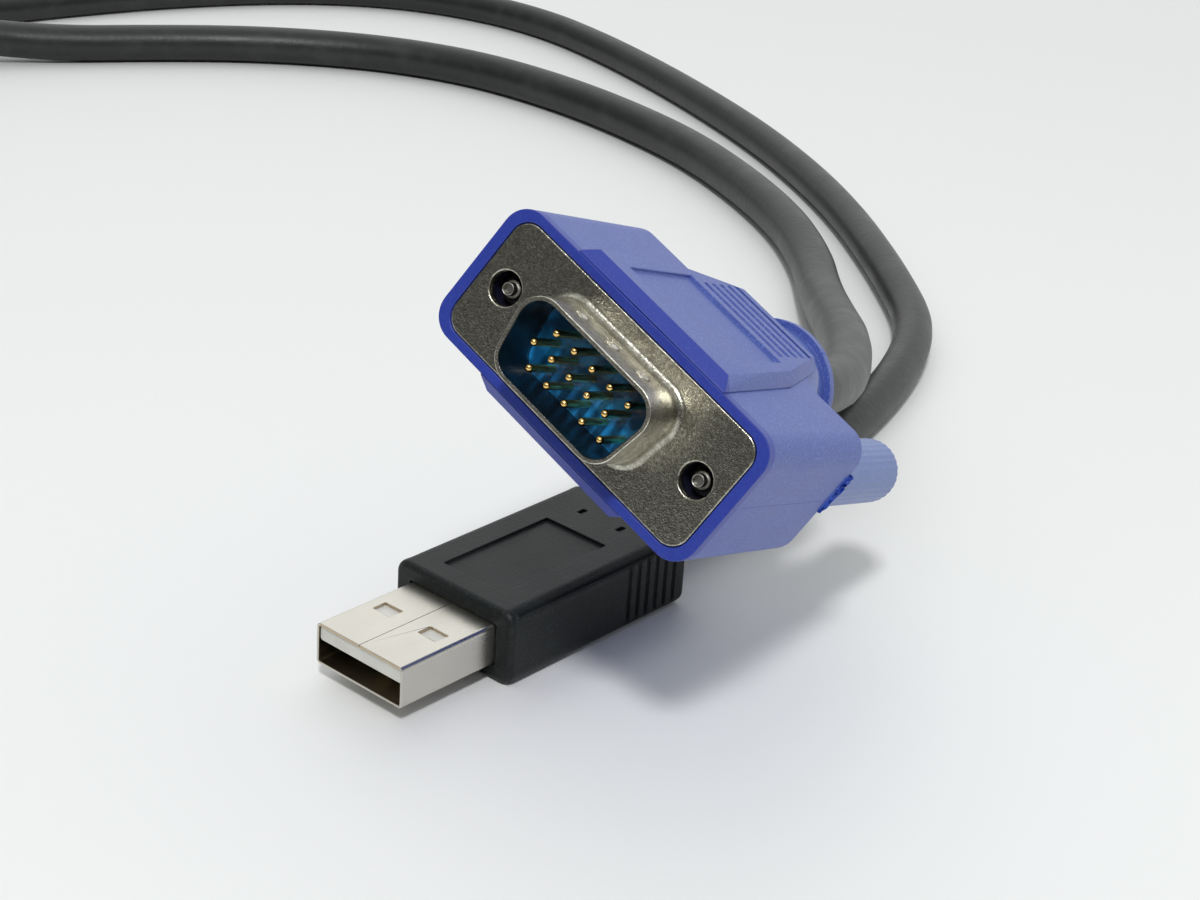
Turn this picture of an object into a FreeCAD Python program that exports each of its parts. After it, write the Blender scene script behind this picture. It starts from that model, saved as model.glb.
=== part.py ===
import FreeCAD, Part
import math
import os
import re
import Sketcher

# A KVM dongle: a small adapter box with a network jack, and two cords that
# lead from it to a 15-pin video plug with thumbscrews and to a USB plug.
# Millimetres.  +Z is up, Z = 0 is the surface that the dongle lies on, and the
# origin is the middle of the footprint of everything but the cords.

Vector = FreeCAD.Vector
Rotation = FreeCAD.Rotation
Placement = FreeCAD.Placement

# ---------------------------------------------------------------- driving sizes
# name: (value in millimetres, what it is)
SIZES = {
    # where the plugs and the box lie
    "video_x": (-23.88, "video plug, middle of the flange's face"),
    "video_y": (-113.59, "video plug, middle of the flange's face"),
    "video_z": (37.92, "video plug, middle of the flange's face"),
    "usb_x": (-33.0, "USB plug, open end"),
    "usb_y": (-93.6, "USB plug, middle"),
    "box_x": (-31.0, "adapter box, end with the jack"),
    "box_y": (115.45, "adapter box, middle"),
    # video plug, in its own frame: Z along the mating direction from the front
    # of the flange, X along the flange, Y towards the long side of the D
    "flange_end": (2.91, "metal flange beyond each screw axis"),
    "flange_height": (12.5, "metal flange, short way"),
    "flange_corner": (2.0, "corner radius of the flange"),
    "plug_sheet": (0.45, "sheet of the two metal shells"),
    "skirt_width": (16.92, "D skirt, outside, along its long side"),
    "skirt_height": (8.36, "D skirt, outside"),
    "skirt_reach": (5.9, "how far the D skirt stands off the flange"),
    "skirt_corner": (2.6, "outer corner radius of the D skirt"),
    "skirt_slope": (0.1763, "lean of the D's sides, tangent of ten degrees"),
    "skirt_root": (0.7, "fillet where the skirt meets the flange"),
    "dimple_depth": (0.25, "depth of the three dents in the skirt"),
    "dimple_ball": (1.1, "radius of the ball that makes a dent"),
    "dimple_pitch": (3.9, "spacing of the dents"),
    "dimple_height": (3.0, "dents above the flange"),
    "screw_spacing": (24.99, "between the two thumbscrew axes"),
    "flange_hole": (3.2, "diameter of the holes for the thumbscrews"),
    "hole_lip": (0.2, "rounded lip of those holes"),
    "seat_gap": (0.05, "clearance where one piece seats in another"),
    "pin_pitch": (2.29, "contacts along a row"),
    "pin_row": (1.98, "between the rows of contacts"),
    "pin_diameter": (0.76, "contact pin"),
    "pin_reach": (5.3, "pin tips in front of the flange"),
    "pin_tail": (6.0, "pin tails behind the flange"),
    "pin_point": (0.22, "taper at the tip of a pin"),
    "insulator_face": (0.3, "insulator face in front of the flange"),
    "insulator_depth": (5.2, "insulator behind the flange"),
    "insulator_width": (18.0, "rear block of the insulator, long way"),
    "insulator_height": (9.6, "rear block of the insulator, short way"),
    "rim_side": (1.195, "housing wall beyond each end of the flange"),
    "rim_over": (0.95, "housing wall above and below the flange"),
    "rim_corner": (2.6, "corner radius of the rim"),
    "ear_depth": (23.7, "ears of the housing, front to back"),
    "hump_height": (16.8, "raised middle of the housing, top to bottom"),
    "hump_width": (18.6, "raised middle at the front"),
    "hump_start": (0.12, "raised middle behind the rim face"),
    "hump_waist": (18.0, "where the raised middle starts to narrow"),
    "hump_waist_width": (16.6, "raised middle where it starts to narrow"),
    "hump_end": (30.0, "back of the raised middle"),
    "hump_end_width": (11.4, "raised middle at its back"),
    "hump_bevel": (1.1, "bevel at the front and back of the raised middle"),
    "hump_side": (1.0, "bevel along the sides of the raised middle"),
    "shoulder_bite": (1.005, "shoulders beyond the inner side of a knob"),
    "shoulder_end": (32.5, "back of the shoulders"),
    "shoulder_end_width": (12.6, "shoulders at their back"),
    "shoulder_round": (2.4, "rounding of the shoulders"),
    "neck_diameter": (13.0, "neck of the housing"),
    "collar_diameter": (14.4, "collar at the end of the neck"),
    "collar_length": (1.7, "collar along the cord"),
    "housing_length": (41.0, "flange to the end of the collar"),
    "collar_edge": (0.5, "rounded edge of the collar"),
    "panel_width": (12.2, "recessed panel on the raised middle"),
    "panel_start": (4.0, "front of the recessed panel"),
    "panel_end": (17.8, "back of the recessed panel"),
    "panel_depth": (0.35, "depth of the recessed panels"),
    "panel_corner": (1.0, "corner radius of the recessed panels"),
    "grip_count": (5, "finger grooves behind the panel"),
    "grip_pitch": (1.9, "spacing of the finger grooves"),
    "grip_groove": (0.8, "width of a finger groove"),
    "grip_start": (19.6, "first finger groove"),
    "grip_width": (10.4, "length of the finger grooves"),
    "grip_depth": (0.3, "depth of the finger grooves"),
    # thumbscrews
    "screw_thread": (2.84, "outside of the thread"),
    "screw_thread_length": (9.0, "threaded length"),
    "screw_shank": (2.2, "shank behind the thread"),
    "screw_tip": (1.0, "tip behind the flange face"),
    "screw_chamfer": (0.45, "chamfer at the tip"),
    "screw_grip": (12.0, "shank inside the knob"),
    "screw_play": (0.06, "clearance between shank and housing"),
    "thread_play": (0.25, "clearance between thread and housing"),
    "knob_diameter": (6.6, "knob over its flutes"),
    "knob_gap": (0.2, "knob behind the ear"),
    "knob_room": (0.3, "clearance round the knob in the shoulders"),
    "knob_end": (46.0, "flange face to the end of the knob"),
    "knob_round": (1.3, "rounded end of the knob"),
    "knob_flutes": (24, "flutes round the knob"),
    "knob_flute": (0.26, "radius of a flute"),
    # USB plug, X back from the open end, Z from the middle of the shell
    "usb_width": (12.0, "shell, outside"),
    "usb_height": (4.5, "shell, outside"),
    "usb_sheet": (0.3, "shell sheet"),
    "usb_corner": (0.5, "outer corner radius of the shell"),
    "usb_reach": (12.45, "shell in front of the overmould"),
    "usb_seat": (6.3, "shell inside the overmould"),
    "usb_seam": (0.06, "width of the seam in the shell"),
    "window_length": (1.75, "shell windows along the plug"),
    "window_width": (2.5, "shell windows across the plug"),
    "window_back": (6.75, "window centres behind the open end"),
    "window_spread": (6.4, "between the window centres"),
    "tongue_thick": (1.5, "contact carrier"),
    "tongue_back": (0.2, "front of the carrier behind the open end"),
    "contact_wide": (1.1, "USB contact width"),
    "contact_sheet": (0.2, "USB contact thickness"),
    "contact_front": (1.2, "front of the outer contacts"),
    "contact_step": (1.0, "how much further back the inner contacts start"),
    "contact_outer": (7.0, "between the outer contacts"),
    "contact_inner": (2.0, "between the inner contacts"),
    "grip_body_width": (16.4, "overmould across"),
    "grip_body_height": (8.2, "overmould high"),
    "grip_body_length": (26.5, "overmould without its strain relief"),
    "grip_body_corner": (1.5, "overmould corner radius"),
    "grip_body_nose": (0.7, "rounding of the overmould's front and back"),
    "usb_panel_front": (2.8, "panel behind the front of the overmould"),
    "usb_panel_length": (15.1, "panel along the plug"),
    "usb_panel_width": (8.3, "panel across the plug"),
    "pit_back": (21.8, "two pits behind the front of the overmould"),
    "pit_spread": (5.4, "between the pits"),
    "pit_length": (1.1, "a pit along the plug"),
    "pit_width": (0.6, "a pit across the plug"),
    "rib_count": (6, "grip grooves on each side"),
    "rib_pitch": (1.4, "spacing of the grip grooves"),
    "rib_start": (17.4, "first grip groove behind the front"),
    "rib_groove": (0.5, "width of a grip groove"),
    "rib_depth": (0.25, "depth of a grip groove"),
    "line_groove": (0.7, "square groove along both top edges"),
    "line_margin": (1.3, "from that groove to the end of the overmould"),
    "relief_length": (6.5, "strain relief of the USB plug"),
    "relief_root": (3.5, "radius of the strain relief at the overmould"),
    "relief_tip": (2.9, "radius of the strain relief at the cord"),
    # cords
    "video_cord": (6.2, "diameter of the video cord"),
    "usb_cord": (5.2, "diameter of the USB cord"),
    # adapter box, in its own frame: X along it away from the jack, Z = 0 below
    "box_length": (54.0, "adapter box"),
    "box_width": (30.0, "adapter box"),
    "box_height": (22.0, "adapter box"),
    "box_corner": (3.0, "upright edges of the box"),
    "box_wall": (1.8, "case wall"),
    "box_edge": (0.8, "rounded top and bottom edges"),
    "board_gap": (0.4, "between the board and the case walls"),
    "board_rear": (2.4, "between the board and the strain reliefs"),
    "board_thick": (1.6, "circuit board"),
    "board_seat": (4.6, "underside of the board above the floor"),
    "chip_side": (12.0, "main chip, square"),
    "chip_rear": (25.0, "main chip's middle from the back of the box"),
    "video_chip_length": (7.0, "video chip along the box"),
    "video_chip_width": (5.0, "video chip across the box"),
    "video_chip_rear": (14.0, "video chip's middle from the back of the box"),
    "video_chip_shift": (3.0, "video chip's middle from the middle of the box"),
    "chip_height": (1.2, "both chips"),
    "chip_bevel": (0.2, "bevel round the top of a chip"),
    "jack_depth": (16.0, "network jack along the box"),
    "jack_width": (15.9, "network jack"),
    "jack_height": (13.4, "network jack"),
    "jack_proud": (0.3, "jack face in front of the box"),
    "port_width": (11.9, "plug opening of the jack"),
    "port_height": (8.3, "plug opening of the jack"),
    "port_depth": (13.0, "plug opening of the jack"),
    "port_sill": (2.2, "plug opening above the board"),
    "latch_width": (6.2, "latch slot"),
    "latch_height": (2.0, "latch slot above the opening"),
    "jack_shield": (0.25, "jack shield sheet"),
    "shield_front": (0.2, "shield behind the outside of the end wall"),
    "jack_pitch": (1.02, "jack contacts"),
    "jack_wire": (0.4, "jack contact width"),
    "jack_wire_front": (2.2, "jack contact tips behind the face of the box"),
    "jack_wire_rise": (2.6, "jack contact tips above the sill of the port"),
    "gland_length": (10.0, "strain relief outside the box"),
    "gland_collar": (9.0, "strain relief where it passes the case wall"),
    "gland_flange": (1.6, "strain relief's flange inside the wall"),
    "gland_lip": (0.7, "that flange beyond the opening in the wall"),
    "gland_brim": (0.5, "strain relief outside the wall, beyond the opening"),
    "gland_tip": (0.7, "strain relief round the cord at its end"),
    "gland_space": (1.6, "between the two strain reliefs"),
    "case_screw": (2.2, "case screw shank"),
    "case_screw_head": (4.0, "case screw head"),
    "case_screw_sink": (0.4, "case screw heads below the base"),
    "case_screw_bite": (6.4, "case screws above the board"),
    "case_screw_hole": (8.0, "screw holes above the board"),
    "case_post": (5.4, "screw posts in the case"),
    "post_side": (5.0, "screw posts from the side of the box"),
    "post_rear": (9.0, "rear screw posts from the back of the box"),
    "post_front": (22.0, "front screw posts from the front of the box"),
}

# What follows from the sizes above.
DERIVED = {
    "flange_width": "screw_spacing+2*flange_end",
    "rim_width": "flange_width+2*rim_side",
    "rim_height": "flange_height+2*rim_over",
    "shoulder_width": "screw_spacing-knob_diameter+2*shoulder_bite",
    "collar_start": "housing_length-collar_length",
    "board_front": "box_wall+board_gap",
    "board_end": "box_length-box_wall-gland_flange-board_rear",
    "board_width": "box_width-2*(box_wall+board_gap)",
    "board_top": "board_seat+board_thick",
    "exit_height": "box_wall+2*seat_gap+gland_collar/2+gland_lip",
    "exit_spread": "gland_collar+2*gland_lip+gland_space",
    "box_split": "exit_height",
}

doc = FreeCAD.newDocument("kvm_dongle")
sheet = doc.addObject("Spreadsheet::Sheet", "Sizes")
for row, (name, (value, note)) in enumerate(SIZES.items(), start=1):
    sheet.set("A%d" % row, name)
    sheet.set("B%d" % row, str(value))
    sheet.set("C%d" % row, note)
    sheet.setAlias("B%d" % row, name)
doc.recompute()


def cell(word):
    """The cell of a size, or the expression of one that follows from others."""
    name = word.group()
    if name in DERIVED:
        return "(%s)" % formula(DERIVED[name])
    return "Sizes." + name if name in SIZES else name


def formula(text):
    """An expression in which each size's name reads its cell of the sheet."""
    return re.sub(r"[a-z]\w*", cell, str(text))


def size(text):
    """The present value of a size or of an expression on sizes."""
    return float(sheet.evalExpression(formula(text)))


def bind(target, prop, text):
    """Tie a property to an expression on the sheet."""
    target.setExpression(prop, formula(text))


# ------------------------------------------------------------- sketch helpers
def new_body(label):
    body = doc.addObject("PartDesign::Body", label)
    body.Label = label
    return body


def origin_item(body, role):
    for item in body.Origin.OriginFeatures:
        if item.Role == role:
            return item


def new_sketch(body, plane, offset="0"):
    """A sketch on one of the body's own planes, moved along its normal."""
    sketch = body.newObject("Sketcher::SketchObject", body.Label + "_sketch")
    sketch.AttachmentSupport = [(origin_item(body, plane), "")]
    sketch.MapMode = "FlatFace"
    bind(sketch, "AttachmentOffset.Base.z", offset)
    return sketch


def fix(sketch, kind, geometry, point, text):
    """Hold a point of the sketch at a distance from its origin."""
    number = sketch.addConstraint(
        Sketcher.Constraint(kind, -1, 1, geometry, point, size(text)))
    sketch.setExpression("Constraints[%d]" % number, formula(text))


def polygon(sketch, points):
    """A closed outline with every corner at its own pair of expressions."""
    corners = [Vector(size(x), size(y), 0) for x, y in points]
    first = sketch.GeometryCount
    total = len(points)
    for i in range(total):
        sketch.addGeometry(Part.LineSegment(corners[i], corners[(i + 1) % total]))
    for i in range(total):
        after = first + (i + 1) % total
        sketch.addConstraint(Sketcher.Constraint("Coincident", first + i, 2, after, 1))
    for i, (x, y) in enumerate(points):
        fix(sketch, "DistanceX", first + i, 1, x)
        fix(sketch, "DistanceY", first + i, 1, y)


def rectangle(sketch, width, height, x="0", y="0"):
    left, right = "(%s)-(%s)/2" % (x, width), "(%s)+(%s)/2" % (x, width)
    low, high = "(%s)-(%s)/2" % (y, height), "(%s)+(%s)/2" % (y, height)
    polygon(sketch, [(left, low), (right, low), (right, high), (left, high)])


def circle(sketch, x, y, diameter):
    index = sketch.addGeometry(Part.Circle(Vector(size(x), size(y), 0), Vector(0, 0, 1),
                                           size(diameter) / 2))
    fix(sketch, "DistanceX", index, 3, x)
    fix(sketch, "DistanceY", index, 3, y)
    number = sketch.addConstraint(Sketcher.Constraint("Radius", index, size(diameter) / 2))
    sketch.setExpression("Constraints[%d]" % number, formula("(%s)/2" % diameter))


def rounded(sketch, centres, radius):
    """A convex outline of tangent lines and corner arcs of one radius."""
    middles = [Vector(size(x), size(y), 0) for x, y in centres]
    reach = size(radius)
    total = len(middles)
    outward = []
    for i in range(total):
        along = middles[(i + 1) % total] - middles[i]
        along.normalize()
        outward.append(Vector(along.y, -along.x, 0))
    lines, arcs = [], []
    for i in range(total):
        start, end = middles[i], middles[(i + 1) % total]
        lift = outward[i] * reach
        lines.append(sketch.addGeometry(Part.LineSegment(start + lift, end + lift)))
    for i in range(total):
        first, last = outward[i - 1], outward[i]
        ring = Part.Circle(middles[i], Vector(0, 0, 1), reach)
        from_angle, to_angle = math.atan2(first.y, first.x), math.atan2(last.y, last.x)
        if to_angle < from_angle:
            to_angle += 2 * math.pi
        arcs.append(sketch.addGeometry(Part.ArcOfCircle(ring, from_angle, to_angle)))
    for i in range(total):
        sketch.addConstraint(Sketcher.Constraint("Tangent", lines[i - 1], 2, arcs[i], 1))
        sketch.addConstraint(Sketcher.Constraint("Tangent", arcs[i], 2, lines[i], 1))
    for arc, (x, y) in zip(arcs, centres):
        fix(sketch, "DistanceX", arc, 3, x)
        fix(sketch, "DistanceY", arc, 3, y)
        number = sketch.addConstraint(Sketcher.Constraint("Radius", arc, reach))
        sketch.setExpression("Constraints[%d]" % number, formula(radius))


def d_outline(sketch, inset):
    """The D of the plug's skirt, moved inwards by an inset on every side."""
    deep = "skirt_corner"
    half = "(skirt_width/2-(%s)*sqrt(1+skirt_slope^2))" % deep
    top = "(skirt_height/2-(%s))" % deep
    wide = "(%s-(%s)*skirt_slope)" % (half, deep)
    narrow = "(%s-(skirt_height-(%s))*skirt_slope)" % (half, deep)
    rounded(sketch, [("-" + narrow, "-" + top), (narrow, "-" + top), (wide, top),
                     ("-" + wide, top)], "skirt_corner-(%s)" % inset)


# ------------------------------------------------------------ feature helpers
def settled(feature):
    """Recompute, and stop at once on a feature that failed."""
    doc.recompute()
    if "Invalid" in feature.State or feature.Shape.isNull():
        raise ValueError("%s failed: %s" % (feature.Name, feature.State))
    return feature


def extrude(body, kind, sketch, length, back=False, both_ways=False):
    """A pad or pocket; back points it against the sketch's normal."""
    feature = body.newObject("PartDesign::" + kind, body.Label + "_" + kind)
    feature.Profile = sketch
    feature.Reversed = back
    if both_ways:
        feature.SideType = "Symmetric"
    bind(feature, "Length", length)
    return settled(feature)


def pad(body, sketch, length, back=False, both_ways=False):
    return extrude(body, "Pad", sketch, length, back, both_ways)


def pocket(body, sketch, length, back=False, both_ways=False):
    """A pocket that must remove material."""
    before = body.Shape.Volume
    feature = extrude(body, "Pocket", sketch, length, back, both_ways)
    if not body.Shape.Volume < before:
        raise ValueError("a pocket of %s cuts nothing" % body.Label)
    return feature


def revolve(body, kind, sketch, axis):
    feature = body.newObject("PartDesign::" + kind, body.Label + "_" + kind)
    feature.Profile = sketch
    feature.ReferenceAxis = (sketch, [axis])
    feature.Angle = 360
    return settled(feature)


def edges_along(shape, direction, keep=None):
    """Names of the straight edges along a direction whose middle passes keep."""
    names = []
    for number, edge in enumerate(shape.Edges, start=1):
        if edge.Curve.TypeId != "Part::GeomLine":
            continue
        if abs(abs(edge.tangentAt(edge.FirstParameter).dot(direction)) - 1) > 1e-6:
            continue
        if keep is None or keep(edge.CenterOfMass):
            names.append("Edge%d" % number)
    return names


def edges_at(shape, keep):
    """Names of the edges of any kind whose whole box passes keep."""
    return ["Edge%d" % number for number, edge in enumerate(shape.Edges, start=1)
            if keep(edge.BoundBox)]


def soften(body, base, names, amount, kind="Fillet"):
    """Fillet or chamfer named edges of the last feature."""
    feature = body.newObject("PartDesign::" + kind, body.Label + "_" + kind)
    feature.Base = (base, names)
    bind(feature, "Radius" if kind == "Fillet" else "Size", amount)
    return settled(feature)


def row_of(body, feature, axis, count, pitch, back=False):
    """Repeat a feature along one of the body's axes."""
    pattern = body.newObject("PartDesign::LinearPattern", body.Label + "_row")
    pattern.Originals = [feature]
    pattern.Reversed = back
    pattern.Direction = (origin_item(body, axis), [""])
    pattern.Mode = "Spacing"
    bind(pattern, "Offset", pitch)
    bind(pattern, "Occurrences", count)
    body.Tip = pattern
    return settled(pattern)


def mirrored(body, features, plane):
    """Repeat features on the other side of one of the body's planes."""
    pattern = body.newObject("PartDesign::Mirrored", body.Label + "_mirror")
    pattern.Originals = features
    pattern.MirrorPlane = (origin_item(body, plane), [""])
    body.Tip = pattern
    return settled(pattern)


X_AXIS, Y_AXIS, Z_AXIS = Vector(1, 0, 0), Vector(0, 1, 0), Vector(0, 0, 1)

# ------------------------------------------------------------ where things lie
# The video plug rests tilted on its stiff cord: its own X and Z axes.
VIDEO_PLUG_AT = Vector(size("video_x"), size("video_y"), size("video_z"))
VIDEO_PLUG_X = Vector(0.0456, -0.8957, -0.4423)
VIDEO_PLUG_Z = Vector(-0.9116, -0.2184, 0.3483)
VIDEO_PLUG = Placement(VIDEO_PLUG_AT, Rotation(VIDEO_PLUG_X, Vector(), VIDEO_PLUG_Z, "ZXY"))
USB_PLUG = Placement(Vector(size("usb_x"), size("usb_y"), size("grip_body_height/2")),
                     Rotation())
BOX = Placement(Vector(size("box_x"), size("box_y"), 0), Rotation())

# Hand-set routes, from the plug's end to the strain relief of the box.
VIDEO_ROUTE = [
    (23.53, -102.23, 19.81), (35.2, -97.8, 15.4), (46.2, -91.4, 12.4), (57.5, -83.2, 10.0),
    (70.5, -71.6, 6.2), (82.2, -61.0, 3.3), (91.0, -53.0, 3.1), (100.4, -41.6, 3.1),
    (109.3, -25.8, 3.1), (116.4, -8.6, 3.1), (120.2, 10.2, 3.1), (121.3, 26.4, 3.1),
    (119.9, 42.4, 3.1), (114.6, 56.6, 3.1), (106.4, 68.4, 3.1), (96.6, 78.4, 3.1),
    (84.6, 87.4, 3.1), (72.4, 95.4, 3.1), (61.6, 102.9, 4.2), (52.6, 107.1, 6.0),
    (42.4, 109.45, 7.1),
]
USB_ROUTE = [
    (20.4, -93.6, 4.1), (32.0, -92.8, 2.6), (43.0, -91.2, 2.6), (54.5, -88.6, 2.6),
    (66.5, -84.8, 2.6), (77.0, -80.2, 2.6), (85.4, -74.6, 2.6), (92.6, -67.0, 2.6),
    (101.0, -57.4, 2.6), (112.0, -43.6, 2.6), (121.8, -28.6, 2.6), (131.2, -11.0, 2.6),
    (139.4, 8.8, 2.6), (145.2, 25.6, 2.6), (149.4, 40.8, 2.6), (152.0, 55.4, 2.6),
    (151.0, 69.8, 2.6), (146.0, 83.8, 2.6), (136.6, 96.0, 2.6), (123.2, 105.6, 2.6),
    (107.0, 113.0, 2.6), (90.6, 118.0, 2.6), (76.0, 121.2, 2.6), (62.8, 122.9, 3.9),
    (52.4, 122.6, 5.8), (42.4, 121.45, 7.1),
]


def place(item, placement, shift=Vector()):
    """Put a finished sub-part where its plug or box lies."""
    item.Placement = placement.multiply(Placement(shift, Rotation()))


SUBPARTS = []


def finish(item, placement, shift=Vector()):
    place(item, placement, shift)
    SUBPARTS.append(item)


# ---------------------------------------------------------------- video plug
def video_front_shell():
    """Pressed flange with the D skirt drawn out of it."""
    body = new_body("video_front_shell")
    sketch = new_sketch(body, "XY_Plane")
    rectangle(sketch, "flange_width", "flange_height")
    base = pad(body, sketch, "plug_sheet", back=True)
    corners = edges_along(base.Shape, Z_AXIS)
    soften(body, base, corners, "flange_corner")
    sketch = new_sketch(body, "XY_Plane")
    d_outline(sketch, "0")
    skirt = pad(body, sketch, "skirt_reach")
    root = edges_at(skirt.Shape, lambda b: abs(b.ZMin) < 1e-6 and abs(b.ZMax) < 1e-6
                    and b.XMax < size("skirt_width/2+0.1") and b.XMin > -size("skirt_width/2+0.1"))
    soften(body, skirt, root, "skirt_root")
    sketch = new_sketch(body, "XY_Plane", "skirt_reach+seat_gap")
    d_outline(sketch, "plug_sheet")
    pocket(body, sketch, "skirt_reach+plug_sheet+2*seat_gap")
    sketch = new_sketch(body, "XY_Plane")
    for side in ("-", ""):
        circle(sketch, side + "screw_spacing/2", "0", "flange_hole")
    holes = pocket(body, sketch, "plug_sheet")
    lips = edges_at(holes.Shape, lambda b: abs(b.ZMax) < 1e-6 and abs(b.ZMin) < 1e-6
                    and abs(b.Center.y) < 1e-3 and b.XLength < size("flange_hole+0.1"))
    soften(body, holes, lips, "hole_lip")
    dents(body)
    finish(body, VIDEO_PLUG)


def dents(body):
    """Three round dents in the long side of the skirt."""
    for step in (-1, 0, 1):
        ball = body.newObject("PartDesign::SubtractiveSphere", "skirt_dent")
        bind(ball, "Radius", "dimple_ball")
        bind(ball, "Placement.Base.x", "%d*dimple_pitch" % step)
        bind(ball, "Placement.Base.y", "skirt_height/2+dimple_ball-dimple_depth")
        bind(ball, "Placement.Base.z", "dimple_height")
    doc.recompute()


def video_rear_shell():
    """Second flange plate with a skirt back round the insulator."""
    body = new_body("video_rear_shell")
    sketch = new_sketch(body, "XY_Plane", "-plug_sheet")
    rectangle(sketch, "flange_width", "flange_height")
    base = pad(body, sketch, "plug_sheet", back=True)
    soften(body, base, edges_along(base.Shape, Z_AXIS), "flange_corner")
    sketch = new_sketch(body, "XY_Plane", "-plug_sheet")
    rectangle(sketch, "insulator_width+2*(seat_gap+plug_sheet)",
              "insulator_height+2*(seat_gap+plug_sheet)")
    pad(body, sketch, "insulator_depth-plug_sheet", back=True)
    sketch = new_sketch(body, "XY_Plane", "-plug_sheet")
    rectangle(sketch, "insulator_width+2*seat_gap", "insulator_height+2*seat_gap")
    for side in ("-", ""):
        circle(sketch, side + "screw_spacing/2", "0", "flange_hole")
    pocket(body, sketch, "insulator_depth")
    finish(body, VIDEO_PLUG)


def pin_places():
    """Expressions for the fifteen contacts, long side of the D first."""
    for row, stagger in ((1, 0.25), (0, -0.25), (-1, 0.25)):
        for column in range(-2, 3):
            yield "pin_pitch*(%d+%g)" % (column, stagger), "pin_row*%d" % row


def video_insulator():
    """Block that carries the pins: a D in the skirt and a block behind it."""
    body = new_body("video_insulator")
    sketch = new_sketch(body, "XY_Plane", "insulator_face")
    d_outline(sketch, "plug_sheet+seat_gap")
    pad(body, sketch, "insulator_face+plug_sheet", back=True)
    sketch = new_sketch(body, "XY_Plane", "-plug_sheet")
    rectangle(sketch, "insulator_width", "insulator_height")
    pad(body, sketch, "insulator_depth-plug_sheet", back=True)
    sketch = new_sketch(body, "XY_Plane", "insulator_face")
    for x, y in pin_places():
        circle(sketch, x, y, "pin_diameter")
    pocket(body, sketch, "insulator_face+insulator_depth+seat_gap")
    finish(body, VIDEO_PLUG)


def turned(label, profile):
    """A round piece about its own Z axis, from its radius and height pairs."""
    body = new_body(label)
    sketch = new_sketch(body, "XZ_Plane")
    polygon(sketch, profile)
    revolve(body, "Revolution", sketch, "V_Axis")
    return body


def video_pins():
    """Fifteen turned contacts with tapered tips."""
    for number, (x, y) in enumerate(pin_places(), start=1):
        body = turned("video_pin_%02d" % number, [
            ("0", "-pin_tail"), ("pin_diameter/2", "-pin_tail"),
            ("pin_diameter/2", "pin_reach-pin_point*1.4"),
            ("pin_diameter/2-pin_point", "pin_reach"), ("0", "pin_reach")])
        finish(body, VIDEO_PLUG, Vector(size(x), size(y), 0))


def middle_outline(sketch, points):
    """A closed outline that is the same left and right of the plug's middle."""
    right = [("(%s)/2" % width, "-(%s)" % back) for width, back in points]
    left = [("-(%s)/2" % width, "-(%s)" % back) for width, back in reversed(points)]
    polygon(sketch, right + left)


def video_housing():
    """Moulded housing: rim and ears, raised middle, shoulders, neck, collar."""
    body = new_body("video_housing")
    sketch = new_sketch(body, "XY_Plane")
    rectangle(sketch, "rim_width", "rim_height")
    ears = pad(body, sketch, "ear_depth", back=True)
    soften(body, ears, edges_along(ears.Shape, Z_AXIS), "rim_corner")
    sketch = new_sketch(body, "XZ_Plane")
    middle_outline(sketch, [("shoulder_width", "ear_depth-1"), ("shoulder_width", "ear_depth"),
                            ("shoulder_end_width", "shoulder_end")])
    shoulders = pad(body, sketch, "rim_height", both_ways=True)
    lengthways = edges_at(shoulders.Shape, lambda b: b.ZMax < -size("ear_depth-0.01")
                          and b.XLength > 1 and b.ZLength > 1)
    shoulders = soften(body, shoulders, lengthways, "shoulder_round")
    sketch = new_sketch(body, "XZ_Plane")
    polygon(sketch, [("0", "-hump_waist"), ("neck_diameter/2", "-hump_waist"),
                     ("neck_diameter/2", "-collar_start"),
                     ("collar_diameter/2", "-collar_start"),
                     ("collar_diameter/2", "-housing_length+collar_edge"),
                     ("collar_diameter/2-collar_edge", "-housing_length"),
                     ("0", "-housing_length")])
    revolve(body, "Revolution", sketch, "V_Axis")
    sketch = new_sketch(body, "XZ_Plane")
    middle_outline(sketch, [("hump_width", "hump_start"), ("hump_waist_width", "hump_waist"),
                            ("hump_end_width", "hump_end")])
    hump = pad(body, sketch, "hump_height", both_ways=True)
    top = size("hump_height/2")
    bevels = edges_along(hump.Shape, X_AXIS, lambda c: abs(abs(c.y) - top) < 1e-3)
    hump = soften(body, hump, bevels, "hump_bevel", "Chamfer")
    sides = edges_at(hump.Shape, lambda b: abs(abs(b.Center.y) - top) < 1e-3
                     and b.YLength < 1e-3 and b.ZLength > 2 * size("hump_bevel"))
    hump = soften(body, hump, sides, "hump_side", "Chamfer")
    sketch = new_sketch(body, "XY_Plane", "-ear_depth")
    for side in ("-", ""):
        circle(sketch, side + "screw_spacing/2", "0", "knob_diameter+2*knob_room")
    pocket(body, sketch, "shoulder_end-ear_depth")
    recesses(body)
    inside_of_housing(body)
    finish(body, VIDEO_PLUG)


def recesses(body):
    """Sunk panel and finger grooves, the same above and below."""
    for offset, inwards in (("-hump_height/2", True), ("hump_height/2", False)):
        sketch = new_sketch(body, "XZ_Plane", offset)
        rectangle(sketch, "panel_width", "panel_end-panel_start", y="-(panel_start+panel_end)/2")
        pocket(body, sketch, "panel_depth", back=inwards)
        sketch = new_sketch(body, "XZ_Plane", offset)
        rectangle(sketch, "grip_width", "grip_groove", y="-grip_start")
        groove = pocket(body, sketch, "grip_depth", back=inwards)
        row_of(body, groove, "Z_Axis", "grip_count", "grip_pitch", back=True)


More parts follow.
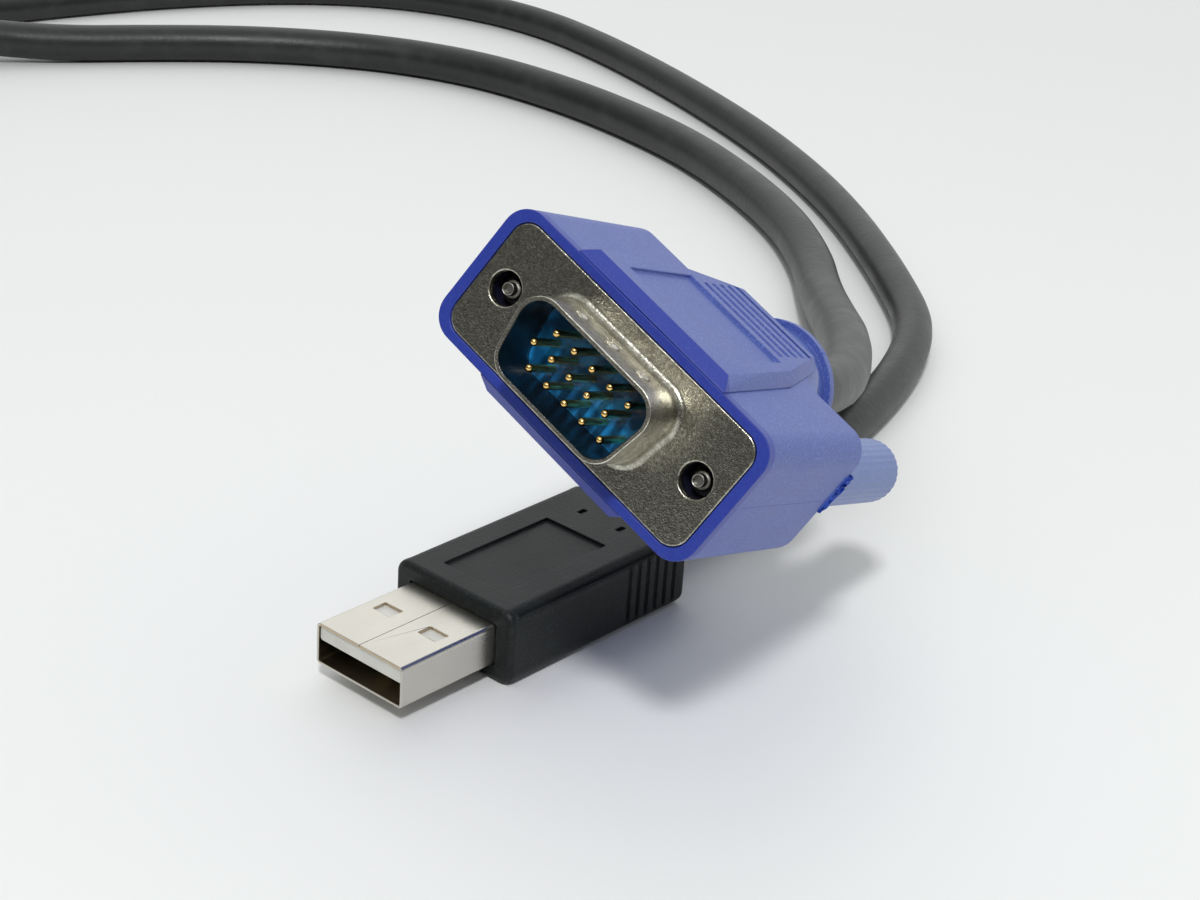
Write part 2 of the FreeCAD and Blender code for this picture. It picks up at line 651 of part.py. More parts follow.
def inside_of_housing(body):
    """Seat of the two flanges and the insulator, and the thumbscrew bores."""
    sketch = new_sketch(body, "XY_Plane")
    rectangle(sketch, "flange_width+2*seat_gap", "flange_height+2*seat_gap")
    seat = pocket(body, sketch, "2*plug_sheet+seat_gap")
    edge = size("flange_width/2-1")
    corners = edges_along(seat.Shape, Z_AXIS, lambda c: c.z > -1 and abs(c.x) > edge
                          and abs(c.x) < size("(rim_width+flange_width)/4")
                          and abs(c.y) > size("insulator_height/2"))
    soften(body, seat, corners, "flange_corner")
    sketch = new_sketch(body, "XY_Plane")
    rectangle(sketch, "insulator_width+2*(2*seat_gap+plug_sheet)",
              "insulator_height+2*(2*seat_gap+plug_sheet)")
    pocket(body, sketch, "pin_tail+seat_gap")
    bores = (("screw_thread+2*thread_play", "screw_tip+screw_thread_length+thread_play"),
             ("screw_shank+2*screw_play", "ear_depth"))
    for diameter, depth in bores:
        sketch = new_sketch(body, "XY_Plane")
        for side in ("-", ""):
            circle(sketch, side + "screw_spacing/2", "0", diameter)
        pocket(body, sketch, depth)


def thumbscrews():
    """A fluted knob on a captive steel screw at each end of the plug."""
    for number, side in ((1, -1), (2, 1)):
        shift = Vector(side * size("screw_spacing/2"), 0, 0)
        grip_end = "-(ear_depth+knob_gap+screw_grip)"
        shank = "screw_shank/2"
        thread_end = "-(screw_tip+screw_thread_length)"
        screw = turned("thumbscrew_%d_screw" % number, [
            ("0", grip_end), (shank, grip_end), (shank, thread_end),
            ("screw_thread/2", thread_end), ("screw_thread/2", "-screw_tip-screw_chamfer"),
            ("screw_thread/2-screw_chamfer", "-screw_tip"), ("0", "-screw_tip")])
        finish(screw, VIDEO_PLUG, shift)
        finish(thumbscrew_knob("thumbscrew_%d_knob" % number), VIDEO_PLUG, shift)


def thumbscrew_knob(label):
    front = "-(ear_depth+knob_gap)"
    edge = "knob_diameter/2"
    body = turned(label, [
        ("0", "-knob_end"), (edge, "-knob_end"), (edge, front), ("0", front)])
    knob = body.Tip
    ends = edges_at(knob.Shape, lambda b: b.ZMax < -size("knob_end") + 1e-3 and b.XLength > 1)
    knob = soften(body, knob, ends, "knob_round")
    sketch = new_sketch(body, "XY_Plane", "-knob_end")
    circle(sketch, edge, "0", "2*knob_flute")
    flute = pocket(body, sketch, "knob_end-ear_depth-knob_gap", back=True)
    ring = body.newObject("PartDesign::PolarPattern", label + "_flutes")
    ring.Originals = [flute]
    ring.Axis = (origin_item(body, "Z_Axis"), [""])
    ring.Angle = 360
    bind(ring, "Occurrences", "knob_flutes")
    body.Tip = ring
    doc.recompute()
    sketch = new_sketch(body, "XY_Plane", front)
    circle(sketch, "0", "0", "screw_shank")
    pocket(body, sketch, "screw_grip")
    return body


# ------------------------------------------------------------------ USB plug
def usb_shell():
    """Folded steel shell with a seam and two windows above and below."""
    body = new_body("usb_shell")
    sketch = new_sketch(body, "YZ_Plane")
    rectangle(sketch, "usb_width", "usb_height")
    length = "usb_reach+usb_seat"
    tube = pad(body, sketch, length)
    tube = soften(body, tube, edges_along(tube.Shape, X_AXIS), "usb_corner")
    sketch = new_sketch(body, "YZ_Plane")
    rectangle(sketch, "usb_width-2*usb_sheet", "usb_height-2*usb_sheet")
    hollow = pocket(body, sketch, length, back=True)
    inner = edges_along(hollow.Shape, X_AXIS, lambda c: abs(c.y) < size("usb_width/2-usb_sheet/2")
                        and abs(abs(c.z) - size("usb_height/2-usb_sheet")) < 1e-3)
    soften(body, hollow, inner, "usb_corner-usb_sheet+0.1")
    sketch = new_sketch(body, "XY_Plane", "usb_height")
    for side in ("-", ""):
        rectangle(sketch, "window_length", "window_width", "window_back",
                  side + "window_spread/2")
    pocket(body, sketch, "2*usb_height")
    sketch = new_sketch(body, "XY_Plane", "usb_height")
    rectangle(sketch, length, "usb_seam", "(%s)/2" % length)
    pocket(body, sketch, "usb_height")
    finish(body, USB_PLUG)


def usb_tongue():
    """White contact carrier: a plate in the upper half and a root block."""
    body = new_body("usb_tongue")
    inner = "usb_width-2*(usb_sheet+seat_gap)"
    top = "usb_height/2-usb_sheet-seat_gap"
    sketch = new_sketch(body, "YZ_Plane", "tongue_back")
    rectangle(sketch, inner, "tongue_thick", y="%s-tongue_thick/2" % top)
    pad(body, sketch, "usb_reach-tongue_back")
    sketch = new_sketch(body, "YZ_Plane", "usb_reach")
    rectangle(sketch, inner, "2*(%s)" % top)
    block = pad(body, sketch, "usb_seat")
    outer = edges_along(block.Shape, X_AXIS, lambda c: abs(c.y) > 5 and c.z > 0)
    outer += edges_along(block.Shape, X_AXIS, lambda c: abs(c.y) > 5 and c.x > size("usb_reach")
                         and c.z < 0)
    soften(body, block, outer, "usb_corner-usb_sheet+0.1")
    sketch = new_sketch(body, "XY_Plane", "%s-tongue_thick" % top)
    for y, front in contact_places():
        rectangle(sketch, "usb_reach-(%s)" % front, "contact_wide",
                  "(usb_reach+(%s))/2" % front, y)
    pocket(body, sketch, "contact_sheet", back=True)
    finish(body, USB_PLUG)


def contact_places():
    """Across and front expressions of the four contacts."""
    return [("-contact_outer/2", "contact_front"),
            ("-contact_inner/2", "contact_front+contact_step"),
            ("contact_inner/2", "contact_front+contact_step"),
            ("contact_outer/2", "contact_front")]


def usb_contacts():
    """Four flat contacts let into the underside of the carrier."""
    low = "usb_height/2-usb_sheet-seat_gap-tongue_thick"
    for number, (y, front) in enumerate(contact_places(), start=1):
        body = new_body("usb_contact_%d" % number)
        sketch = new_sketch(body, "XY_Plane", low)
        rectangle(sketch, "usb_reach-(%s)" % front, "contact_wide",
                  "(usb_reach+(%s))/2" % front, y)
        pad(body, sketch, "contact_sheet")
        finish(body, USB_PLUG)


def usb_overmould():
    """Black grip with a sunk panel, side grooves and a strain relief."""
    body = new_body("usb_overmould")
    sketch = new_sketch(body, "YZ_Plane", "usb_reach")
    rectangle(sketch, "grip_body_width", "grip_body_height")
    grip = pad(body, sketch, "grip_body_length")
    grip = soften(body, grip, edges_along(grip.Shape, X_AXIS), "grip_body_corner")
    ends = edges_at(grip.Shape, lambda b: b.XLength < 1e-3)
    grip = soften(body, grip, ends, "grip_body_nose")
    sketch = new_sketch(body, "XZ_Plane")
    back = "usb_reach+grip_body_length"
    inside = "%s-2*grip_body_nose" % back
    polygon(sketch, [(inside, "0"), (inside, "relief_root"),
                     (back, "relief_root"), ("%s+relief_length" % back, "relief_tip"),
                     ("%s+relief_length" % back, "0")])
    revolve(body, "Revolution", sketch, "H_Axis")
    top = "grip_body_height/2"
    sketch = new_sketch(body, "XY_Plane", top)
    rectangle(sketch, "usb_panel_length", "usb_panel_width",
              "usb_reach+usb_panel_front+usb_panel_length/2")
    pocket(body, sketch, "panel_depth")
    sketch = new_sketch(body, "XY_Plane", top)
    for side in ("-", ""):
        rectangle(sketch, "pit_length", "pit_width", "usb_reach+pit_back",
                  side + "pit_spread/2")
    pocket(body, sketch, "panel_depth")
    sketch = new_sketch(body, "XY_Plane", top)
    for side in ("-", ""):
        rectangle(sketch, "rib_groove", "2*rib_depth", "usb_reach+rib_start",
                  side + "grip_body_width/2")
    groove = pocket(body, sketch, "grip_body_height")
    row_of(body, groove, "X_Axis", "rib_count", "rib_pitch")
    corner = "grip_body_corner*(1-sqrt(0.5))"
    sketch = new_sketch(body, "YZ_Plane", "usb_reach+line_margin")
    for side in ("-", ""):
        rectangle(sketch, "line_groove", "line_groove",
                  side + "(grip_body_width/2-%s)" % corner, "%s-%s" % (top, corner))
    pocket(body, sketch, "grip_body_length-2*line_margin", back=True)
    sketch = new_sketch(body, "YZ_Plane", "usb_reach")
    rectangle(sketch, "usb_width+2*seat_gap", "usb_height+2*seat_gap")
    pocket(body, sketch, "usb_seat+seat_gap", back=True)
    finish(body, USB_PLUG)


# --------------------------------------------------------------- adapter box
def box_frame_rectangle(sketch, inset):
    rectangle(sketch, "box_length-2*(%s)" % inset, "box_width-2*(%s)" % inset, "box_length/2")


def case_half(label, low, high, open_up):
    """A box half from one height to another, open on one side."""
    body = new_body(label)
    sketch = new_sketch(body, "XY_Plane", low)
    box_frame_rectangle(sketch, "0")
    shell = pad(body, sketch, "(%s)-(%s)" % (high, low))
    shell = soften(body, shell, edges_along(shell.Shape, Z_AXIS), "box_corner")
    face = size(low if open_up else high)
    rim = edges_at(shell.Shape, lambda b: b.ZLength < 1e-3 and abs(b.ZMin - face) < 1e-3)
    soften(body, shell, rim, "box_edge")
    if open_up:
        sketch = new_sketch(body, "XY_Plane", high)
        box_frame_rectangle(sketch, "box_wall")
        pocket(body, sketch, "(%s)-(%s)-box_wall" % (high, low))
    else:
        sketch = new_sketch(body, "XY_Plane", low)
        box_frame_rectangle(sketch, "box_wall")
        pocket(body, sketch, "(%s)-(%s)-box_wall" % (high, low), back=True)
    return body


def jack_window(body):
    """Opening for the jack through the end wall."""
    sketch = new_sketch(body, "YZ_Plane", "-1")
    rectangle(sketch, "jack_width+2*(jack_shield+seat_gap)",
              "jack_height+2*seat_gap+jack_shield",
              y="board_top+(jack_height+jack_shield)/2")
    pocket(body, sketch, "box_wall+2", back=True)


def gland_slots(body, gap):
    """Round openings for the two strain reliefs through the other end wall."""
    sketch = new_sketch(body, "YZ_Plane", "box_length-box_wall-1")
    for side in ("-", ""):
        circle(sketch, side + "exit_spread/2", "exit_height", "gland_collar+2*(%s)" % gap)
    pocket(body, sketch, "box_wall+2", back=True)


def post_places():
    """Expressions for the middles of the four screw posts."""
    return [(x, side + "(box_width/2-post_side)")
            for x in ("box_length-post_rear", "post_front") for side in ("-", "")]


def box_case():
    """Two case halves that meet at the middle of the strain reliefs, with posts."""
    lower = case_half("box_case_bottom", "0", "box_split", True)
    sketch = new_sketch(lower, "XY_Plane", "box_wall")
    for x, y in post_places():
        circle(sketch, x, y, "case_post")
    pad(lower, sketch, "board_seat-box_wall")
    jack_window(lower)
    gland_slots(lower, "seat_gap")
    sketch = new_sketch(lower, "XY_Plane", "0")
    for x, y in post_places():
        circle(sketch, x, y, "case_screw+2*seat_gap")
    pocket(lower, sketch, "board_seat", back=True)
    sketch = new_sketch(lower, "XY_Plane", "0")
    for x, y in post_places():
        circle(sketch, x, y, "case_screw_head+2*seat_gap")
    pocket(lower, sketch, "box_wall", back=True)
    finish(lower, BOX)
    upper = case_half("box_case_top", "box_split", "box_height", False)
    sketch = new_sketch(upper, "XY_Plane", "box_height-box_wall")
    for x, y in post_places():
        circle(sketch, x, y, "case_post")
    pad(upper, sketch, "box_height-box_wall-board_top", back=True)
    jack_window(upper)
    gland_slots(upper, "seat_gap")
    sketch = new_sketch(upper, "XY_Plane", "board_top")
    for x, y in post_places():
        circle(sketch, x, y, "case_screw")
    pocket(upper, sketch, "case_screw_hole", back=True)
    finish(upper, BOX)


def case_screws():
    """Four like screws in one group, each up through a post and the board."""
    drops = []
    for number, (x, y) in enumerate(post_places(), start=1):
        head = doc.addObject("Part::Cylinder", "case_screw_head_%d" % number)
        bind(head, "Radius", "case_screw_head/2")
        bind(head, "Height", "box_wall-case_screw_sink")
        shank = doc.addObject("Part::Cylinder", "case_screw_shank_%d" % number)
        bind(shank, "Radius", "case_screw/2")
        bind(shank, "Height", "board_top+case_screw_bite-case_screw_sink")
        for piece in (head, shank):
            bind(piece, "Placement.Base.x", x)
            bind(piece, "Placement.Base.y", y)
            bind(piece, "Placement.Base.z", "case_screw_sink")
        screw = doc.addObject("Part::Fuse", "case_screw_%d" % number)
        screw.Base, screw.Tool = head, shank
        drops.append(screw)
    group = doc.addObject("Part::Compound", "box_case_screws")
    group.Label = "box_case_screws"
    group.Links = drops
    doc.recompute()
    finish(group, BOX)


def box_board():
    """Circuit board on the posts, with its two chips."""
    board = new_body("box_board")
    sketch = new_sketch(board, "XY_Plane", "board_seat")
    rectangle(sketch, "board_end-board_front", "board_width", "(board_front+board_end)/2")
    pad(board, sketch, "board_thick")
    sketch = new_sketch(board, "XY_Plane", "board_seat")
    for x, y in post_places():
        circle(sketch, x, y, "case_screw")
    pocket(board, sketch, "board_thick", back=True)
    finish(board, BOX)
    chips = (("box_main_chip", "chip_side", "chip_side", "chip_rear", "0"),
             ("box_video_chip", "video_chip_length", "video_chip_width", "video_chip_rear",
              "video_chip_shift"))
    for label, length, width, rear, y in chips:
        chip = new_body(label)
        sketch = new_sketch(chip, "XY_Plane", "board_top")
        rectangle(sketch, length, width, "box_length-" + rear, y)
        block = pad(chip, sketch, "chip_height")
        top = size("board_top+chip_height")
        soften(chip, block, edges_at(block.Shape, lambda b: abs(b.ZMin - top) < 1e-3),
               "chip_bevel", "Chamfer")
        finish(chip, BOX)


def box_jack():
    """Network jack: a body with its port, a folded shield, eight contacts."""
    body = new_body("jack_body")
    middle = "board_top+jack_height/2"
    sketch = new_sketch(body, "YZ_Plane", "-jack_proud")
    rectangle(sketch, "jack_width", "jack_height", y=middle)
    pad(body, sketch, "jack_depth")
    sketch = new_sketch(body, "YZ_Plane", "-jack_proud")
    half, slot = "port_width/2", "latch_width/2"
    sill, roof = "board_top+port_sill", "board_top+port_sill+port_height"
    ledge = "%s+latch_height" % roof
    polygon(sketch, [("-" + half, sill), (half, sill), (half, roof), (slot, roof),
                     (slot, ledge), ("-" + slot, ledge), ("-" + slot, roof), ("-" + half, roof)])
    pocket(body, sketch, "port_depth", back=True)
    finish(body, BOX)
    shield = new_body("jack_shield")
    sketch = new_sketch(shield, "YZ_Plane", "shield_front")
    rectangle(sketch, "jack_width+2*jack_shield", "jack_height+jack_shield",
              y="board_top+(jack_height+jack_shield)/2")
    pad(shield, sketch, "jack_depth-jack_proud-shield_front")
    sketch = new_sketch(shield, "YZ_Plane", "shield_front")
    rectangle(sketch, "jack_width", "jack_height", y=middle)
    pocket(shield, sketch, "jack_depth", back=True)
    finish(shield, BOX)
    for number in range(8):
        wire = new_body("jack_contact_%d" % (number + 1))
        sketch = new_sketch(wire, "XZ_Plane", "-jack_pitch*(%g)" % (number - 3.5))
        deep, tip = "port_depth-jack_proud", "%s+jack_wire_rise" % sill
        polygon(sketch, [(deep, sill), ("jack_wire_front", tip),
                         ("jack_wire_front+jack_wire", "%s+jack_wire*3/4" % tip),
                         (deep, "%s+jack_wire" % sill)])
        pad(wire, sketch, "jack_wire", both_ways=True)
        finish(wire, BOX)


def box_glands():
    """Moulded strain reliefs held in the case wall, one round each cord."""
    for label, side, cord in (("video_gland", "-", "video_cord"), ("usb_gland", "", "usb_cord")):
        body = new_body(label)
        sketch = new_sketch(body, "XZ_Plane", "0")
        inside, end = "box_length-box_wall-gland_flange", "box_length+gland_length"
        wall, out = "box_length-box_wall-seat_gap", "box_length+seat_gap"
        neck = "gland_collar/2"
        polygon(sketch, [(inside, "0"), (inside, neck + "+gland_lip"),
                         (wall, neck + "+gland_lip"), (wall, neck), (out, neck),
                         (out, neck + "+gland_brim"), (end, "%s/2+gland_tip" % cord),
                         (end, "0")])
        revolve(body, "Revolution", sketch, "H_Axis")
        finish(body, BOX, Vector(0, size(side + "exit_spread/2"), size("exit_height")))


# --------------------------------------------------------------------- cords
def cord_path(points):
    """Straight runs joined by tangent arcs as large as the runs allow."""
    share = 0.45
    edges, radii = [], []
    at = points[0]
    for before, corner, after in zip(points, points[1:], points[2:]):
        back, ahead = before - corner, after - corner
        shorter = min(back.Length, ahead.Length)
        back.normalize()
        ahead.normalize()
        turn = math.pi - back.getAngle(ahead)
        setback = share * shorter
        radius = setback / math.tan(turn / 2)
        start, end = corner + back * setback, corner + ahead * setback
        inward = back + ahead
        inward.normalize()
        middle = corner + inward * (radius / math.cos(turn / 2) - radius)
        edges.append(Part.LineSegment(at, start).toShape())
        edges.append(Part.Arc(start, middle, end).toShape())
        radii.append(radius)
        at = end
    edges.append(Part.LineSegment(at, points[-1]).toShape())
    return Part.Wire(edges), radii


def cord(label, diameter, points):
    """A round cord along its route, as one swept solid."""
    path, radii = cord_path(points)
    start = path.Edges[0]
    section = Part.Wire(Part.makeCircle(size(diameter) / 2, points[0],
                                        start.tangentAt(start.FirstParameter)))
    solid = path.makePipeShell([section], True, True)
    wanted = math.pi * (size(diameter) / 2) ** 2 * path.Length
    print("%s: length %.1f, tightest radii %s, volume %.4f of its section times length" % (
        label, path.Length, ["%.1f" % r for r in sorted(radii)[:4]], solid.Volume / wanted))
    item = doc.addObject("Part::Feature", label)
    item.Label = label
    item.Shape = solid
    SUBPARTS.append(item)


def box_exit(side):
    """Where a cord enters its strain relief on the box, and just outside it."""
    across = side * size("exit_spread/2")
    return BOX.multVec(Vector(size("box_length+gland_length"), across, size("exit_height")))


def cords():
    video_end = VIDEO_PLUG.multVec(Vector(0, 0, -size("housing_length")))
    usb_end = USB_PLUG.multVec(
        Vector(size("usb_reach+grip_body_length+relief_length"), 0, 0))
    cord("video_cord_tube", "video_cord",
         [video_end] + [Vector(*p) for p in VIDEO_ROUTE] + [box_exit(-1)])
    cord("usb_cord_tube", "usb_cord",
         [usb_end] + [Vector(*p) for p in USB_ROUTE] + [box_exit(1)])


def check_and_export():
    """Stop on any failed object, then write one STEP file for each sub-part."""
    doc.recompute()
    for item in doc.Objects:
        if "Invalid" in item.State or "Error" in item.State:
            raise ValueError("%s failed: %s" % (item.Name, item.State))
    for item in SUBPARTS:
        if item.Shape.isNull() or not item.Shape.isValid():
            raise ValueError("%s has no valid shape" % item.Label)
    os.makedirs("parts", exist_ok=True)
    for item in SUBPARTS:
        item.Shape.exportStep("parts/%s.step" % item.Label)
    print("%d sub-parts" % len(SUBPARTS))


video_front_shell()
video_rear_shell()
video_insulator()
video_pins()
video_housing()
thumbscrews()
usb_shell()
usb_tongue()
usb_contacts()
usb_overmould()
box_case()
case_screws()
box_board()
box_jack()
box_glands()
cords()
check_and_export()
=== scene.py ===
"""Looks of a KVM dongle: a moulded video plug, a USB plug, two cords and their adapter box."""

import logging
import math
from contextlib import contextmanager
from dataclasses import dataclass
from enum import Enum
from typing import Any, Callable, Iterator, Optional, Sequence, Union

import bpy
from mathutils import Matrix, Vector


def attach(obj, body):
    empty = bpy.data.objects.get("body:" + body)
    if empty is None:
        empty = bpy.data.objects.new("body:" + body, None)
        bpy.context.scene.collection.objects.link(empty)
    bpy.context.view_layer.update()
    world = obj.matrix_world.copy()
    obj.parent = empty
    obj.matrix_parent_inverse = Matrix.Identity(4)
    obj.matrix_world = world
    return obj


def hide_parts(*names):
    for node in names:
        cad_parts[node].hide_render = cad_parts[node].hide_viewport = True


LOG = logging.getLogger("dongle")
Point = tuple[float, float, float]
Colour = tuple[float, float, float]
Outline = tuple[tuple[float, float], ...]

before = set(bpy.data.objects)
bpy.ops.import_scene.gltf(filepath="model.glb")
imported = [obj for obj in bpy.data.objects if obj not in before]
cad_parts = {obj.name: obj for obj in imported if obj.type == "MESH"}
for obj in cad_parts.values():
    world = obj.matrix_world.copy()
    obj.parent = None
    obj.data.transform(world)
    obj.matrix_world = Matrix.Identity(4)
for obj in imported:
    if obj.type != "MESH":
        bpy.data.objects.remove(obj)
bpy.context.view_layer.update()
MAIN_BODY = "dongle"
VIDEO_CORD_DIAMETER = 0.0062
USB_CORD_DIAMETER = 0.0052


# ------------------------------------------------------------------ shader maths
class Value:
    """A number that varies over a surface: one shader socket with Python arithmetic."""

    def __init__(self, paint: "Paint", socket: bpy.types.NodeSocket) -> None:
        """Wrap a socket.

        Args:
            paint: The node tree's painter.
            socket: An output socket that carries a number.
        """
        self.paint = paint
        self.socket = socket

    def _math(self, operation: str, *others: Union["Value", float], clamp: bool = False) -> "Value":
        """Add one Math node that starts from this value.

        Args:
            operation: The Math node's operation.
            others: The remaining operands.
            clamp: Whether the result is kept between 0 and 1.

        Returns:
            The result as a value.
        """
        return self.paint.math(operation, self, *others, clamp=clamp)

    def __add__(self, other: Union["Value", float]) -> "Value":
        """Return the sum."""
        return self._math("ADD", other)

    __radd__ = __add__

    def __sub__(self, other: Union["Value", float]) -> "Value":
        """Return the difference."""
        return self._math("SUBTRACT", other)

    def __rsub__(self, other: float) -> "Value":
        """Return the difference the other way round."""
        return self.paint.math("SUBTRACT", other, self)

    def __mul__(self, other: Union["Value", float]) -> "Value":
        """Return the product."""
        return self._math("MULTIPLY", other)

    __rmul__ = __mul__

    def __pow__(self, other: Union["Value", float]) -> "Value":
        """Return the power."""
        return self._math("POWER", other)

    def __abs__(self) -> "Value":
        """Return the size without its sign."""
        return self._math("ABSOLUTE")

    def clamped(self) -> "Value":
        """Return the value kept between 0 and 1."""
        return self._math("ADD", 0.0, clamp=True)

    def ramp(self, low: float, high: float) -> "Value":
        """Rise smoothly from 0 to 1.

        Args:
            low: Where the rise starts.
            high: Where it ends.

        Returns:
            0 below low, 1 above high, and the rise between them.
        """
        made = self.paint.node("ShaderNodeMapRange", {"interpolation_type": "SMOOTHSTEP"},
                               {"Value": self, "From Min": low, "From Max": high})
        return Value(self.paint, made.outputs["Result"])


class Paint:
    """One material's node tree, with short ways to add what the finishes need."""

    MIX_SHARE, MIX_LOW, MIX_HIGH, MIX_RESULT = 0, 6, 7, 2

    def __init__(self, name: str, room: Optional[bpy.types.NodeTree] = None) -> None:
        """Start an empty tree: a Principled shader, or a glow where it is the room's.

        Args:
            name: The material's name.
            room: The world's tree, where the room is painted and not a surface.
        """
        if room is None:
            self.material = bpy.data.materials.new(name)
            self.material.use_nodes = True
        self.tree = self.material.node_tree if room is None else room
        self.tree.nodes.clear()
        coordinates = self.node("ShaderNodeTexCoord").outputs
        if room is None:
            self.shader = self.node("ShaderNodeBsdfPrincipled")
            out = self.node("ShaderNodeOutputMaterial")
            self.tree.links.new(self.shader.outputs["BSDF"], out.inputs["Surface"])
            self.place, self.facing = coordinates["Object"], coordinates["Normal"]
        else:
            self.glow = self.node("ShaderNodeBackground")
            out = self.node("ShaderNodeOutputWorld")
            self.tree.links.new(self.glow.outputs["Background"], out.inputs["Surface"])
            self.place = coordinates["Generated"]

    def node(self, kind: str, settings: Optional[dict[str, Any]] = None,
             inputs: Optional[dict[Union[str, int], Any]] = None) -> bpy.types.Node:
        """Add a node, set it up and join its inputs.

        Args:
            kind: The node's type.
            settings: Properties that are set before the inputs.
            inputs: Numbers, colours, values or sockets by input name or index.

        Returns:
            The new node.
        """
        made = self.tree.nodes.new(kind)
        for key, setting in (settings or {}).items():
            setattr(made, key, setting)
        for key, value in (inputs or {}).items():
            self.join(value, made.inputs[key])
        return made

    def join(self, value: Any, target: bpy.types.NodeSocket) -> None:
        """Link a value or socket to an input, or set the input to a constant.

        Args:
            value: A value, a socket, a number, a vector or a colour.
            target: The input.
        """
        if isinstance(value, Value):
            self.tree.links.new(value.socket, target)
        elif isinstance(value, bpy.types.NodeSocket):
            self.tree.links.new(value, target)
        elif isinstance(value, tuple) and len(value) == 3 and len(target.default_value) == 4:
            target.default_value = (*value, 1.0)
        else:
            target.default_value = value

    def math(self, operation: str, *operands: Union[Value, float], clamp: bool = False) -> Value:
        """Add a Math node.

        Args:
            operation: Its operation.
            operands: Values or numbers in order.
            clamp: Whether the result is kept between 0 and 1.

        Returns:
            The result.
        """
        made = self.node("ShaderNodeMath", {"operation": operation, "use_clamp": clamp},
                         dict(enumerate(operands)))
        return Value(self, made.outputs[0])

    def noise(self, grain: float, detail: float = 2.0, place: Any = None,
              stretch: Optional[Point] = None) -> Value:
        """Add smooth noise.

        Args:
            grain: Size of its spots in metres.
            detail: Octaves of finer noise.
            place: Coordinates, or None for the object's own.
            stretch: Factors along the three axes, or None.

        Returns:
            Noise from 0 to 1.
        """
        source = self.place if place is None else place
        if stretch is not None:
            source = self.node("ShaderNodeMapping", {}, {"Vector": source, "Scale": stretch}
                               ).outputs["Vector"]
        made = self.node("ShaderNodeTexNoise", {}, {"Vector": source, "Scale": 1.0 / grain,
                                                    "Detail": detail})
        return Value(self, made.outputs["Fac"])

    def axis(self, name: str, coordinates: Any = None) -> Value:
        """Separate one coordinate of the surface point.

        Args:
            name: X, Y or Z.
            coordinates: Coordinates, or None for the object's own.

        Returns:
            The coordinate in metres.
        """
        source = self.place if coordinates is None else coordinates
        made = self.node("ShaderNodeSeparateXYZ", {}, {"Vector": source})
        return Value(self, made.outputs[name])

    def local_facing(self, to_own: Matrix) -> bpy.types.NodeSocket:
        """Turn the surface's normal into a sub-assembly's own frame.

        Args:
            to_own: The turn from the object's frame to the sub-assembly's.

        Returns:
            A vector socket.
        """
        made = self.node("ShaderNodeMapping", {"vector_type": "VECTOR"},
                         {"Vector": self.facing, "Rotation": tuple(to_own.to_euler("XYZ"))})
        return made.outputs["Vector"]

    def local(self, to_own: Matrix) -> bpy.types.NodeSocket:
        """Turn the coordinates into a sub-assembly's own frame.

        Args:
            to_own: The turn and shift from the object's frame to the sub-assembly's.

        Returns:
            A vector socket in metres.
        """
        turn = to_own.to_euler("XYZ")
        made = self.node("ShaderNodeMapping", {"vector_type": "POINT"},
                         {"Vector": self.place, "Rotation": tuple(turn),
                          "Location": tuple(to_own.to_translation())})
        return made.outputs["Vector"]

    def blend(self, share: Union[Value, float], low: Any, high: Any) -> bpy.types.NodeSocket:
        """Mix two colours.

        Args:
            share: 0 for the first and 1 for the second.
            low: First colour.
            high: Second colour.

        Returns:
            The mixed colour's socket.
        """
        made = self.node("ShaderNodeMix", {"data_type": "RGBA"},
                         {self.MIX_SHARE: share, self.MIX_LOW: low, self.MIX_HIGH: high})
        return made.outputs[self.MIX_RESULT]

    def bump(self, height: Value, depth: float, strength: float = 1.0) -> None:
        """Press a height pattern into the surface.

        Args:
            height: The pattern, from 0 to 1.
            depth: Its real depth in metres.
            strength: How much of it shows.
        """
        made = self.node("ShaderNodeBump", {}, {"Height": height, "Distance": depth,
                                                "Strength": strength})
        self.join(made.outputs["Normal"], self.shader.inputs["Normal"])

    def set(self, **inputs: Any) -> None:
        """Set the shader's inputs.

        Args:
            inputs: Their values, by their names with underscores for spaces.
        """
        for key, value in inputs.items():
            self.join(value, self.shader.inputs[key.replace("_", " ")])


# ------------------------------------------------------------------------ places
@dataclass(frozen=True)
class Seat:
    """A sub-assembly's own frame: its origin and two of its axes."""

    origin: Point
    x: Point = (1.0, 0.0, 0.0)
    z: Point = (0.0, 0.0, 1.0)

    def matrix(self, shift: Point = (0.0, 0.0, 0.0)) -> Matrix:
        """Place something that was made at the origin.

        Args:
            shift: Where it goes in the sub-assembly's own frame.

        Returns:
            The place in the part's frame.
        """
        up = Vector(self.z).normalized()
        along = (Vector(self.x) - up * up.dot(Vector(self.x))).normalized()
        turn = Matrix((along, up.cross(along), up)).transposed().to_4x4()
        return Matrix.Translation(self.origin) @ turn @ Matrix.Translation(shift)


